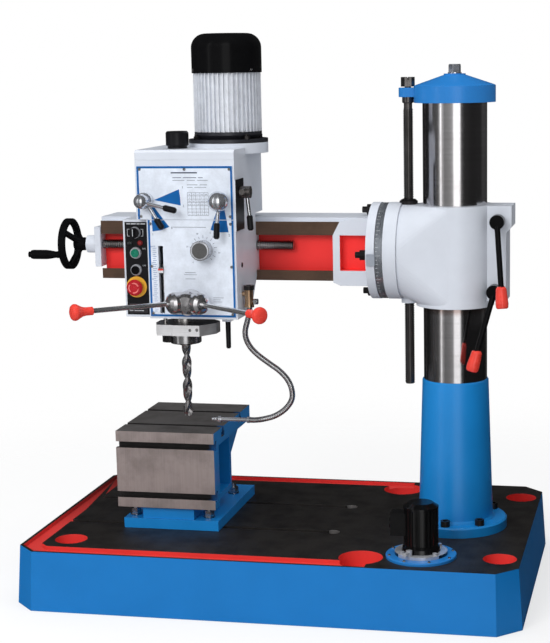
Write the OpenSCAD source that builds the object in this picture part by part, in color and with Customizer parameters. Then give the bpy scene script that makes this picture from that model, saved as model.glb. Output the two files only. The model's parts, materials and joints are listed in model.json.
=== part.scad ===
// Radial arm drill: a drilling head on a long arm that swings, lifts and tilts about a column.
// Origin: centre of the base's footprint on the floor. +Z up, +X from the head to the column,
// -Y towards the operator.

/* [Base casting] */
// Length of the base's top face
base_l = 1250; // [1200:10:1400]
// Width of the base's top face
base_w = 790; // [760:10:900]
// Height of the base above the floor
base_h = 150; // [130:5:180]
// Outward lean of the side walls from top to bottom
base_draft = 10; // [0:1:20]
// Leg of the cut corners
base_corner = 50; // [40:1:60]
// Thickness of the base's side walls
base_wall = 20; // [14:1:26]
// Thickness of the base's top plate
base_top_t = 34; // [30:1:40]
// Width of the rim outside the coolant gutter
gutter_rim = 8; // [6:1:14]
// Width of the coolant gutter
gutter_w = 42; // [30:1:46]
// Depth of the coolant gutter
gutter_d = 10; // [6:1:14]
// Radius of the two drain pits
pit_r = 54; // [48:1:56]
// Depth of the drain pits
pit_d = 40; // [25:1:60]
// Distance of the drain pits from the base's centre along its length
pit_x = 240; // [230:1:245]
// Distance of the drain pits from the centre line
pit_y = 316; // [308:1:320]
// Radius of the anchor pockets
pocket_r = 41; // [34:1:42]
// Depth of the anchor pockets
pocket_d = 30; // [20:1:40]
// Spacing of the anchor bolts along the base
anchor_dx = 1088; // [1060:1:1100]
// Spacing of the anchor bolts across the base
anchor_dy = 555; // [520:1:570]
// Shift of the anchor pattern towards the column
anchor_shift = 29; // [20:1:32]
// Radius of the anchor bolt holes
anchor_r = 10; // [8:0.5:12]
// Distance between the two T-slots in the base
base_slot_gap = 236; // [220:1:250]
// Width of a T-slot's mouth
slot_mouth = 18; // [14:1:20]
// Width of a T-slot's inner part
slot_inner = 30; // [26:1:32]
// Height of a T-slot's inner part
slot_inner_h = 12; // [10:1:13]
// Depth of a T-slot's mouth
slot_mouth_h = 12; // [10:1:13]
// Place along the base where its T-slots end
slot_end = 130; // [120:1:150]

/* [Column] */
// Place of the column's axis along the base
col_x = 430; // [420:1:435]
// Radius of the column
col_r = 80; // [76:1:84]
// Wall of the column tube
col_wall = 14; // [10:1:18]
// Radius of the column's spigot inside the pedestal
col_spigot_r = 74; // [70:1:75]
// Height of the column's top face above the floor
col_top = 1240; // [1235:1:1250]
// Radius of the pedestal at its top
ped_top_r = 84; // [83:0.5:86]
// Radius of the pedestal at its flange
ped_foot_r = 95; // [90:1:98]
// Height of the pedestal's top above the floor
ped_top = 536; // [525:1:540]
// Radius of the pedestal's flange
ped_flange_r = 131; // [128:1:135]
// Thickness of the pedestal's flange
ped_flange_t = 26; // [20:1:30]
// Radius of the circle of pedestal screws
ped_bolt_pcr = 114; // [112:0.5:116]
// Radius of a hold-down screw's thread
hold_bolt_r = 8; // [6:0.5:8]
// Radius of a hold-down screw's head
hold_head_r = 12; // [11:0.5:13]

/* [Coolant pump] */
// Place of the pump along the base
pump_x = 383; // [382:1:385]
// Place of the pump across the base
pump_y = -284; // [-288:1:-282]
// Radius of the pump's round mounting plate
pump_plate_r = 86; // [80:1:88]
// Thickness of the pump's mounting plate
pump_plate_t = 8; // [6:1:10]
// Radius of the pump's foot
pump_foot_r = 64; // [58:1:68]
// Radius of the pump motor without its ribs
pump_r = 39; // [36:1:40]
// Height of the pump above the base
pump_h = 136; // [125:1:145]
// Length of the pump's suction shank inside the base
pump_dip = 118; // [90:1:130]

/* [Box table] */
// Width of the box table
tab_w = 261; // [250:1:270]
// Depth of the box table's top
tab_d = 355; // [340:1:360]
// Height of the box table's top above the floor
tab_top = 408; // [406:1:412]
// Place of the box table's middle along the base
tab_x = -296; // [-300:1:-292]
// Place of the box table's front face
tab_front = -166; // [-168:1:-164]
// Thickness of the box table's top plate
tab_plate = 40; // [36:1:44]
// Thickness of the box table's front plate
tab_front_t = 45; // [40:1:50]
// Depth of the box table's body behind its front plate
tab_body_d = 180; // [150:1:200]
// Inset of the box table's body from its sides
tab_inset = 19; // [12:1:24]
// Height of the front plate above the top of the base
tab_face_low = 58; // [56:1:64]
// Thickness of the box table's foot
tab_foot_t = 26; // [22:1:30]
// Depth of the box table's foot
tab_foot_d = 372; // [360:1:380]

/* [Arm sleeve] */
// Radius of the sleeve around the column
slv_r = 98; // [96:1:102]
// Height of the sleeve's lower face above the floor
slv_bot = 725; // [720:1:728]
// Height of the sleeve's upper face above the floor
slv_top = 977; // [975:1:985]
// Height of the arm's tilting axis above the floor
arm_z = 860; // [856:1:862]
// Radius of the sleeve's and the arm's round flanges
flange_r = 122; // [121:0.5:124]
// Thickness of the sleeve's flange behind the angle ring
slv_flange_t = 32; // [30:1:34]
// Width of the graduated angle ring
ring_w = 20; // [16:1:22]
// Thickness of the angle ring
ring_t = 5; // [3:0.5:5]
// Place of the joint face between arm and sleeve
joint_x = 245; // [243:1:246]
// Radius of the arm's pilot in the sleeve
pilot_r = 60; // [50:1:70]
// Radius of the circle of flange bolts
flange_pcr = 103; // [102:0.5:104]
// Gap of the sleeve's clamping slit
slit_w = 6; // [4:1:8]
// Half thickness of the clamping lugs
lug_y = 48; // [44:1:52]
// Radial clearance of a running fit
run_fit = 0.08; // [0.03:0.01:0.1]

/* [Arm] */
// Distance of the arm's free end from the base's centre
arm_end = 480; // [478:1:484]
// Half thickness of the arm
arm_half = 65; // [62:1:68]
// Height of the upper way's top edge above the floor
way_top = 938; // [936:1:940]
// Height of the lower way's bottom edge above the floor
way_bot = 789; // [786:1:792]
// Height of the upper way's front face
way_up_h = 34; // [30:1:36]
// Height of the lower way's front face
way_low_h = 26; // [22:1:30]
// Undercut of the dovetail ways
way_undercut = 12; // [8:1:14]
// Depth of the recess between the ways
way_recess = 31; // [30:1:34]
// Thickness of the arm's web
arm_web = 10; // [8:1:14]
// Wall of the arm's box section
arm_wall = 12; // [10:1:14]
// Thickness of the arm's top plate
arm_cap_t = 10; // [8:1:11]
// Place where the ways end and the arm's root begins
root_x = 130; // [128:1:132]
// Width of the upright rib at the arm's root
rib_w = 18; // [14:1:20]

/* [Screws] */
// Radius of the elevating screw
lift_screw_r = 12.5; // [11:0.5:13]
// Distance of the elevating screw from the column's axis
lift_screw_off = 117; // [116:1:118]
// Height of the elevating screw's lower end above the floor
lift_screw_bot = 519; // [515:1:525]
// Radius of the traversing screw
lead_r = 13; // [11:0.5:13]
// Height of the traversing screw's axis above the floor
lead_z = 876; // [874:1:878]
// Place of the traversing screw's axis in front of the column
lead_y = -50; // [-51:0.5:-49]
// Place of the traversing screw's free end
lead_end = 27; // [20:1:40]
// Radius of the traversing screw's journal
lead_journal_r = 10; // [8:0.5:10]

/* [Handwheel] */
// Radius of the handwheel
wheel_r = 66; // [60:1:70]
// Width of the handwheel's rim
wheel_rim_w = 18; // [15:1:20]
// Thickness of the handwheel's rim
wheel_rim_t = 13; // [10:1:15]
// Place of the handwheel's middle along the base
wheel_x = -572; // [-574:1:-568]
// Length of the handwheel's grip
grip_l = 68; // [60:1:80]
// Radius of the handwheel's grip
grip_r = 12; // [10:1:13]
// Angle of the grip around the wheel
grip_angle = 202; // [190:1:220]

/* [Head casting] */
// Place of the head's right side
head_right = -68; // [-70:1:-66]
// Width of the head's upper box
head_w = 249; // [245:1:252]
// Width of the head's lower box
head_low_w = 224; // [220:1:226]
// Place of the head's front face
head_front = -255; // [-257:1:-254]
// Place of the head's back above the arm
head_back = 5; // [0:1:10]
// Height of the head's lower face above the floor
head_bot = 717; // [715:1:720]
// Height of the step between the head's boxes
head_step = 960; // [958:1:962]
// Height of the head's upper joint above the floor
head_joint = 1104; // [1100:1:1106]
// Height of the head's top above the floor
head_top = 1128; // [1126:1:1130]
// Wall of the head casting
head_wall = 12; // [10:1:12]
// Depth of the head's back wall against the ways
head_back_wall = 14; // [12:1:16]
// Clearance between the head and the ways
way_fit = 0.1; // [0.05:0.01:0.3]
// Thickness of the front plates
plate_t = 2; // [1:0.5:3]
// Height of the joint between the front plates
plate_joint = 960; // [958:1:962]
// Height of the upper front plate's top edge
plate_top = 1090; // [1085:1:1095]
// Inset of the front plates from the head's edges
plate_inset = 4; // [2:1:6]
// Width of the depth slot
depth_slot_w = 12; // [10:1:14]
// Height of the depth slot's upper end
depth_slot_top = 896; // [890:1:900]
// Height of the depth slot's lower end
depth_slot_bot = 730; // [728:1:732]

/* [Spindle] */
// Place of the spindle's axis along the base
spin_x = -222; // [-224:1:-220]
// Place of the spindle's axis across the base
spin_y = -190; // [-191:1:-189]
// Radius of the quill
quill_r = 31; // [30:0.5:32]
// Height of the quill's lower end at rest
quill_bot = 646; // [644:1:650]
// Height of the quill's upper end at rest
quill_top = 905; // [890:1:910]
// Radius of the spindle in the quill
spindle_r = 17; // [15:0.5:17]
// Radius of the spindle's splined shaft
spline_r = 12; // [10:0.5:12]
// Height of the splined shaft's top at rest
spline_top = 1098; // [1090:1:1099]
// Radius of the quill's ring nut
ringnut_r = 39; // [37:1:42]
// Height of the quill's ring nut
ringnut_h = 26; // [22:1:28]
// Radius of the twist drill
drill_r = 12; // [8:0.5:13]
// Height of the twist drill's tip above the floor
drill_tip = 456; // [450:1:470]

/* [Capstan] */
// Place of the capstan's axis along the base
cap_x = -182; // [-183:0.5:-181]
// Height of the capstan's axis above the floor
cap_z = 762; // [760:1:764]
// Pitch radius of the capstan's pinion
pinion_pr = 15; // [14.8:0.1:15.2]
// Teeth on the capstan's pinion
pinion_teeth = 15; // [15:1:15]
// Radius of the capstan's shaft
cap_shaft_r = 12; // [10:0.5:12]
// Radius of the capstan's hub
cap_hub_r = 30; // [28:1:33]
// Distance of a handle's end from the capstan's axis
cap_reach = 240; // [225:1:245]
// Forward lean of the handles in degrees
cap_lean = 40; // [38:1:41]
// Radius of the handle rods
cap_rod_r = 6; // [5:0.5:7]

/* [Motor] */
// Place of the motor's axis along the base
mot_x = -130; // [-132:1:-128]
// Place of the motor's axis across the base
mot_y = -75; // [-77:1:-73]
// Radius of the motor's mounting flange
mot_flange_r = 99; // [96:1:100]
// Radius of the motor's body at the fins' tips
mot_r = 84; // [80:1:86]
// Height of the fins above the body
fin_h = 8; // [6:1:10]
// Number of fins
fin_n = 44; // [36:2:48]
// Radius of the fan cover
fan_cover_r = 87; // [86:0.5:90]
// Radius of the fan cover's shoulder
fan_cover_round = 35; // [25:1:40]
// Height of the fan cover's lower edge
fan_cover_bot = 1309; // [1305:1:1312]
// Height of the fan cover's top
fan_cover_top = 1405; // [1400:1:1410]

/* [Gears] */
// Module of the gears
gear_m = 2.5; // [2.4:0.05:2.5]
// Teeth on the motor's pinion
teeth_a = 18; // [18:1:18]
// Teeth on the idler's large gear
teeth_b = 38; // [38:1:38]
// Teeth on the idler's small gear
teeth_c = 24; // [24:1:24]
// Teeth on the spindle's gear
teeth_d = 38; // [38:1:38]
// Width of the gears
gear_w = 20; // [16:1:22]

/* [Control box] */
// Width of the control box
ctl_w = 68; // [64:1:70]
// Height of the control box
ctl_h = 241; // [236:1:241]
// Place of the control box's front
ctl_front = -235; // [-238:1:-232]
// Depth of the control box
ctl_d = 125; // [110:1:130]
// Sheet thickness of the control box
ctl_t = 2.5; // [2:0.5:4]
// Radius of the push buttons
button_r = 12; // [10:0.5:13]
// Radius of the emergency stop's mushroom
stop_r = 20; // [17:0.5:20]

/* [Coolant hose] */
// Outer radius of the flexible hose
hose_r = 6.5; // [5:0.5:7]
// Depth of the hose's ribs
hose_rib = 0.9; // [0.5:0.1:1]
// Radius of the hose's bore
hose_bore = 4; // [3:0.5:4]
// Number of ribs on the hose
hose_ribs = 110; // [80:1:130]

/* [Hidden] */

eps = 0.01;
fine = 96;
mid = 48;

blue = [0.10, 0.42, 0.75];
coolant_red = [0.85, 0.12, 0.10];
casting_white = [0.84, 0.86, 0.88];
steel = [0.62, 0.62, 0.63];
black = [0.08, 0.08, 0.09];
knob_red = [0.88, 0.16, 0.10];
chrome = [0.80, 0.81, 0.83];
brass = [0.75, 0.58, 0.30];

// Places worked out from the driving dimensions
joint_r = flange_r - 1;
band_r = joint_r - ring_t;
flange_x = joint_x - 22;
slv_face_x = joint_x + ring_w;
slv_back_x = slv_face_x + slv_flange_t;
lift_x = col_x - lift_screw_off;
slit_x = col_x + col_r;
lug_top_x = col_x + 146;
lug_web_x = col_x + 133;
upper_stud = [col_x + 113, 940];
lower_stud = [col_x + 105, 767];
way_up_z = way_top - way_up_h;
way_low_z = way_bot + way_low_h;
web_y = -arm_half + way_recess;
head_left = head_right - head_w;
head_low_left = head_right - head_low_w;
slide_y = -arm_half - way_fit;
cover_hole_r = 30;
mot_seat = head_top + 10;
flange_top = mot_seat + 9;
bell_top = flange_top + 18;
fin_top = fan_cover_bot + 3;
lever_z = 1007;
gear_lever_x = head_left + 25;
feed_lever_x = head_right - 34;
dial_x = head_right - 82;
dial_z = 888;
depth_x = head_low_left + 34;
depth_rod_y = head_front + head_wall + 6;
rack_x = spin_x + (cap_x - spin_x - pinion_pr);
spin_gear_z = head_step + head_wall + 3;
mot_gear_z = 1040;
mesh_gap = 0.15;
ctl_left = head_low_left - ctl_w;
ctl_top = head_step - 2;
ctl_bot = ctl_top - ctl_h;
ctl_x = ctl_left + ctl_w / 2;
button_x = ctl_x - 5;
tap_x = head_right + 16;
tap_y = -206;
tap_bot = 741;

// Axis of the idler, where its two gears mesh with the motor pinion and the spindle gear
ab = gear_m * (teeth_a + teeth_b) / 2 + mesh_gap;
bc = gear_m * (teeth_c + teeth_d) / 2 + mesh_gap;
ac = norm([spin_x - mot_x, spin_y - mot_y]);
ac_angle = atan2(spin_y - mot_y, spin_x - mot_x);
ab_angle = ac_angle + acos((ab * ab + ac * ac - bc * bc) / (2 * ab * ac));
idler_x = mot_x + ab * cos(ab_angle);
idler_y = mot_y + ab * sin(ab_angle);
bc_angle = atan2(spin_y - idler_y, spin_x - idler_x);

module block(x0, x1, y0, y1, z0, z1) {
  translate([x0, y0, z0]) cube([x1 - x0, y1 - y0, z1 - z0]);
}

module rod_x(r, x0, x1, y, z) {
  translate([x0, y, z]) rotate([0, 90, 0]) cylinder(r = r, h = x1 - x0, $fn = fine);
}

module rod_y(r, y0, y1, x, z) {
  translate([x, y0, z]) rotate([-90, 0, 0]) cylinder(r = r, h = y1 - y0, $fn = fine);
}

module rod_z(r, z0, z1, x, y) {
  translate([x, y, z0]) cylinder(r = r, h = z1 - z0, $fn = fine);
}

// A plate in the YZ plane, drawn as (y, z) points and carried along X
module slab_x(x0, x1) {
  translate([x0, 0, 0]) rotate([90, 0, 90]) linear_extrude(x1 - x0) children();
}

// A plate in the XZ plane, drawn as (x, z) points and carried along Y
module slab_y(y0, y1) {
  translate([0, y1, 0]) rotate([90, 0, 0]) linear_extrude(y1 - y0) children();
}

module hex(flats, h) {
  cylinder(r = flats / sqrt(3), h = h, $fn = 6);
}

// Turns a shape drawn about +Z so that +Z points to the operator
module to_front(x, y, z) {
  translate([x, y, z]) rotate([90, 0, 0]) children();
}

// Points of a rectangle with cut corners
function cut_corners(l, w, c) = [
  [-l / 2 + c, -w / 2], [l / 2 - c, -w / 2], [l / 2, -w / 2 + c], [l / 2, w / 2 - c],
  [l / 2 - c, w / 2], [-l / 2 + c, w / 2], [-l / 2, w / 2 - c], [-l / 2, -w / 2 + c]
];

// Leg of the cut corner that keeps an even margin inside the base's outline
function inner_corner(margin) = base_corner - margin * (2 - sqrt(2));

module base_outline(margin) {
  l = base_l - 2 * margin;
  w = base_w - 2 * margin;
  polygon(cut_corners(l, w, inner_corner(margin)));
}

// Spur gear with straight-sided teeth, drawn thin enough for running backlash
module spur_gear(teeth, m, h) {
  root = m * teeth / 2 - 1.15 * m;
  tip = m * teeth / 2 + 0.9 * m;
  half_root = 360 / teeth * 0.285;
  half_tip = 360 / teeth * 0.115;
  linear_extrude(h) polygon([
    for (i = [0:teeth - 1], k = [0:3])
      let (a = i * 360 / teeth + [-half_root, -half_tip, half_tip, half_root][k])
      let (r = (k == 0 || k == 3) ? root : tip)
      [r * cos(a), r * sin(a)]
  ]);
}

// Pear-shaped ball grip, its narrow end at the origin
module pear_knob(len, r_big, r_small) {
  rotate_extrude($fn = fine) polygon([
    [0, 0], [r_small, 0], [r_small, len * 0.3], [r_small * 1.15, len * 0.45],
    [r_big * 0.78, len * 0.6], [r_big * 0.96, len * 0.71], [r_big, len * 0.79],
    [r_big * 0.96, len * 0.87], [r_big * 0.8, len * 0.94], [r_big * 0.5, len * 0.985], [0, len]
  ]);
}

// Straight round bar between two points
module bar(p, q, r) {
  d = q - p;
  len = norm(d);
  translate(p) rotate([0, acos(d[2] / len), atan2(d[1], d[0])])
    cylinder(r = r, h = len, $fn = mid);
}

// Base casting with gutter, drain pits, anchor pockets and T-slots

module pit_places() {
  for (s = [-1, 1]) translate([pit_x, s * pit_y, 0]) children();
}

module anchor_places() {
  for (sx = [-1, 1], sy = [-1, 1])
    translate([anchor_shift + sx * anchor_dx / 2, sy * anchor_dy / 2, 0]) children();
}

module base_slot(y) {
  x0 = -base_l / 2 + gutter_rim + gutter_w - 1;
  mouth = slot_mouth / 2;
  inner = slot_inner / 2;
  floor_z = base_h - slot_mouth_h - slot_inner_h;
  block(x0, slot_end, y - mouth, y + mouth, base_h - slot_mouth_h - 1, base_h + 1);
  block(x0, slot_end, y - inner, y + inner, floor_z, floor_z + slot_inner_h);
  rod_z(inner + 2, floor_z, base_h + 1, slot_end, y);
}

module base_casting() {
  cavity_z = base_h - base_top_t;
  color(blue) difference() {
    union() {
      difference() {
        hull() {
          translate([0, 0, base_h - 1]) linear_extrude(1) base_outline(0);
          linear_extrude(1) base_outline(-base_draft);
        }
        translate([0, 0, -1]) linear_extrude(cavity_z + 1) base_outline(base_wall);
      }
      for (y = [-160, 160])
        block(-base_l / 2 + 10, base_l / 2 - 10, y - 7, y + 7, 20, cavity_z + 1);
      for (x = [-400, -200, 0, 200])
        block(x - 7, x + 7, -base_w / 2 + 10, base_w / 2 - 10, x == 0 ? 0 : 20,
          cavity_z + 1);
      pit_places() cylinder(r = pit_r + 8, h = base_h - 20, $fn = fine);
      anchor_places() cylinder(r = pocket_r + 8, h = base_h - 20, $fn = fine);
      rod_z(ped_flange_r + 6, cavity_z - 24, cavity_z + 1, col_x, 0);
    }
    translate([0, 0, base_h - gutter_d]) linear_extrude(gutter_d + 1) intersection() {
      difference() {
        base_outline(gutter_rim);
        base_outline(gutter_rim + gutter_w);
      }
      translate([-base_l, -base_w]) square([base_l + pit_x + 22, 2 * base_w]);
    }
    translate([0, 0, base_h - pit_d]) pit_places()
      cylinder(r = pit_r, h = pit_d + 1, $fn = fine);
    translate([0, 0, -1]) pit_places() cylinder(r = 14, h = base_h, $fn = fine);
    translate([0, 0, base_h - pocket_d]) anchor_places()
      cylinder(r = pocket_r, h = pocket_d + 1, $fn = fine);
    translate([0, 0, -1]) anchor_places() cylinder(r = anchor_r, h = base_h, $fn = fine);
    for (s = [-1, 1]) base_slot(s * base_slot_gap / 2);
    pedestal_bolt_places() cylinder(r = hold_bolt_r, h = base_h + 1, $fn = fine);
    rod_z(pump_shank_r + 6, cavity_z - 1, base_h + 1, pump_x, pump_y);
    rod_z(col_spigot_r - 20, cavity_z - 30, base_h + 1, col_x, 0);
  }
}

// Pedestal, column and the screws that hold them down

module pedestal_bolt_places() {
  for (side = [-96, 84], step = [-45, 0, 45])
    translate([col_x, 0, 0]) rotate([0, 0, side + step])
      translate([ped_bolt_pcr, 0, base_h - base_top_t + 4]) children();
}

module pedestal() {
  flange_z = base_h + ped_flange_t;
  bore = col_spigot_r + run_fit;
  color(blue) difference() {
    translate([col_x, 0, 0]) rotate_extrude($fn = fine) polygon([
      [bore, base_h], [ped_flange_r, base_h], [ped_flange_r, flange_z - 4],
      [ped_flange_r - 4, flange_z], [ped_foot_r + 5, flange_z],
      [ped_foot_r, flange_z + 7], [ped_top_r, ped_top - 3],
      [ped_top_r - 2, ped_top], [bore, ped_top]
    ]);
    pedestal_bolt_places() cylinder(r = hold_bolt_r + 0.4, h = 100, $fn = fine);
  }
}

module column() {
  color(steel) translate([col_x, 0, 0]) difference() {
    union() {
      translate([0, 0, base_h]) cylinder(r = col_spigot_r, h = ped_top - base_h, $fn = fine);
      translate([0, 0, ped_top]) cylinder(r = col_r, h = col_top - ped_top, $fn = fine);
    }
    translate([0, 0, base_h - 1])
      cylinder(r = col_r - col_wall, h = col_top - base_h - 19, $fn = fine);
    translate([0, 0, col_top - 30]) cylinder(r = cap_stud_r + run_fit, h = 40, $fn = fine);
  }
}

cap_stud_r = 10;
cap_bearing_h = 12;
cap_boss_top = 1299;

module cap_nut() {
  color(chrome) translate([col_x, 0, 0]) {
    translate([0, 0, col_top - 19]) cylinder(r = cap_stud_r, h = 98, $fn = fine);
    translate([0, 0, cap_boss_top]) cylinder(r = 17, h = 3, $fn = fine);
    translate([0, 0, cap_boss_top + 3]) rotate([0, 0, 20]) intersection() {
      hex(27, 20);
      cylinder(r1 = 22, r2 = 14, h = 20, $fn = fine);
    }
  }
}

module thrust_bearing() {
  color(steel) translate([col_x, 0, col_top]) rotate_extrude($fn = fine) difference() {
    translate([30, 0]) square([22, cap_bearing_h]);
    translate([52, cap_bearing_h / 2]) circle(r = 2, $fn = 24);
  }
}

module table_bolt_places() {
  for (x = [tab_x - 99, tab_x + 99], s = [-1, 1])
    translate([x, s * base_slot_gap / 2, 0]) children();
}

module hold_down_bolts() {
  flange_z = base_h + ped_flange_t;
  foot_z = base_h + tab_foot_t;
  color(black) {
    pedestal_bolt_places() {
      h = flange_z - (base_h - base_top_t + 4);
      cylinder(r = hold_bolt_r, h = h + eps, $fn = mid);
      translate([0, 0, h]) difference() {
        cylinder(r = hold_head_r, h = 15, $fn = mid);
        translate([0, 0, 7]) hex(13, 10);
      }
    }
    table_bolt_places() {
      slot_z = base_h - slot_mouth_h - slot_inner_h;
      translate([-13, -13, slot_z]) cube([26, 26, slot_inner_h - 0.3]);
      translate([0, 0, slot_z + 2]) cylinder(r = 7.9, h = foot_z + 26 - slot_z, $fn = mid);
      translate([0, 0, foot_z]) cylinder(r = 15, h = 3, $fn = mid);
      translate([0, 0, foot_z + 3]) hex(24, 15);
    }
  }
}

// Coolant pump on the base

pump_shank_r = 32;

module pump_plate() {
  color(blue) translate([pump_x, pump_y, base_h]) rotate_extrude($fn = fine) polygon([
    [pump_shank_r + 4, 0], [pump_plate_r, 0], [pump_plate_r, pump_plate_t - 2],
    [pump_plate_r - 2, pump_plate_t], [pump_shank_r + 4, pump_plate_t]
  ]);
}

module pump_motor() {
  foot_z = pump_plate_t;
  body_z = foot_z + 26;
  color(black) translate([pump_x, pump_y, base_h]) {
    translate([0, 0, -pump_dip])
      cylinder(r = pump_shank_r, h = pump_dip + foot_z + 1, $fn = fine);
    rotate_extrude($fn = fine) polygon([
      [0, foot_z], [pump_foot_r, foot_z], [pump_foot_r, foot_z + 8],
      [pump_r + 8, foot_z + 8], [pump_r + 6, foot_z + 18], [pump_r, body_z],
      [pump_r, pump_h - 14], [pump_r + 4, pump_h - 14], [pump_r + 4, pump_h - 9],
      [pump_r - 10, pump_h], [0, pump_h]
    ]);
    for (i = [0:23]) rotate([0, 0, i * 15 + 7.5])
      translate([pump_r - 2, -1.1, body_z - 1]) cube([5.4, 2.2, pump_h - body_z - 12]);
    translate([-pump_r - 33, -19, pump_h - 82]) cube([37, 38, 56]);
    translate([-pump_r - 32, 0, pump_h - 54]) rotate([0, -90, 0])
      cylinder(r = 13, h = 5, $fn = mid);
    for (a = [45:90:315]) rotate([0, 0, a]) translate([pump_foot_r - 8, 0, foot_z + 7])
      hex(10, 7);
  }
  color(brass) translate([pump_x, pump_y, base_h + foot_z + 7]) rotate([0, 0, -112]) {
    translate([pump_foot_r - 8, 0, 0]) cylinder(r = 7.5, h = 14, $fn = mid);
    translate([pump_foot_r - 8, 0, 8]) rotate([0, 90, 0]) cylinder(r = 5, h = 22, $fn = mid);
  }
}

// Box table bolted to the base's T-slots

module box_table() {
  x0 = tab_x - tab_w / 2;
  x1 = tab_x + tab_w / 2;
  y1 = tab_front + tab_d;
  plate_z = tab_top - tab_plate;
  foot_z = base_h + tab_foot_t;
  face_z = base_h + tab_face_low;
  body_y = tab_front + tab_front_t;
  back_y = body_y + tab_body_d;
  bx0 = x0 + tab_inset;
  bx1 = x1 - tab_inset;
  color(blue) difference() {
    union() {
      block(x0, x1, tab_front, y1, plate_z, tab_top);
      block(x0, x1, tab_front, body_y, face_z, plate_z + 1);
      block(bx0, bx1, body_y - 1, back_y, face_z, plate_z + 1);
      block(x0 + 62, x1 - 62, tab_front + 14, back_y, foot_z - 1, face_z + 1);
      block(x0 + 12, x1 + 4, tab_front + 8, tab_front + tab_foot_d, base_h, foot_z);
      for (x = [bx0 + 8, bx1 - 20]) slab_x(x, x + 12) polygon([
        [back_y - 1, plate_z + 1], [y1 - 12, plate_z + 1], [y1 - 12, plate_z - 12],
        [back_y - 1, plate_z - 90]
      ]);
      slab_x(x0 + 124, x0 + 138) polygon([
        [back_y - 1, foot_z - 1], [back_y - 1, foot_z + 70], [y1 - 30, foot_z - 1]
      ]);
    }
    block(bx0 + 14, x1 + 1, body_y + 12, back_y - 13, face_z + 14, plate_z - 2);
    for (y = [tab_front + 86, tab_front + 253]) {
      block(x0 - 1, x1 + 1, y - 8, y + 8, tab_top - 13, tab_top + 1);
      block(x0 - 1, x1 + 1, y - 14, y + 14, tab_top - 25, tab_top - 12);
    }
    for (z = [tab_top - 35.5, face_z + 33]) {
      block(x0 - 1, x1 + 1, tab_front - 1, tab_front + 13, z - 8, z + 8);
      block(x0 - 1, x1 + 1, tab_front + 12, tab_front + 24, z - 13, z + 13);
    }
    translate([0, 0, base_h - 1]) table_bolt_places() cylinder(r = 9, h = 40, $fn = fine);
  }
}

// Cap on top of the column and the elevating screw that hangs from its ear

ear_bot = 1243;
ear_top = 1266;
screw_stud_r = 10;

module top_cap() {
  bore = col_r + run_fit;
  z0 = col_top - 11;
  seat = col_top + cap_bearing_h;
  color(blue) difference() {
    union() {
      translate([col_x, 0, 0]) rotate_extrude($fn = fine) polygon([
        [bore, z0], [col_r + 21, z0], [col_r + 21, z0 + 41], [col_r + 17, z0 + 43],
        [27, cap_boss_top - 3], [27, cap_boss_top], [cap_stud_r + run_fit, cap_boss_top],
        [cap_stud_r + run_fit, seat], [bore, seat]
      ]);
      translate([0, 0, ear_bot]) linear_extrude(ear_top - ear_bot) {
        translate([lift_x, 0]) circle(r = 23, $fn = fine);
        translate([lift_x, -23]) square([lift_screw_off - col_r, 46]);
      }
    }
    rod_z(bore, z0 - 1, seat, col_x, 0);
    rod_z(screw_stud_r + run_fit, ear_bot - 1, ear_top + 1, lift_x, 0);
  }
}

module elevating_screw() {
  color(black) translate([lift_x, 0, 0]) {
    rotate_extrude($fn = fine) polygon([
      [0, lift_screw_bot], [lift_screw_r - 2, lift_screw_bot],
      [lift_screw_r, lift_screw_bot + 2], [lift_screw_r, ear_bot - 30],
      [lift_screw_r - 2, ear_bot - 28], [lift_screw_r - 2, ear_bot - 17],
      [lift_screw_r + 2, ear_bot - 15], [lift_screw_r + 2, ear_bot],
      [screw_stud_r, ear_bot], [screw_stud_r, ear_top + 22], [0, ear_top + 22]
    ]);
    translate([0, 0, ear_top]) rotate([0, 0, 12]) difference() {
      hex(30, 24);
      translate([0, 0, -1]) cylinder(r = screw_stud_r - eps, h = 30, $fn = fine);
      for (a = [0:60:120]) rotate([0, 0, a + 30]) translate([-20, -2, 17]) cube([40, 4, 8]);
    }
  }
}

// Sleeve that clamps on the column and carries the arm

nut_r = 18;
nut_bot = slv_top - 32;
stud_r = 8;
lug_x0 = col_x + 84;

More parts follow.
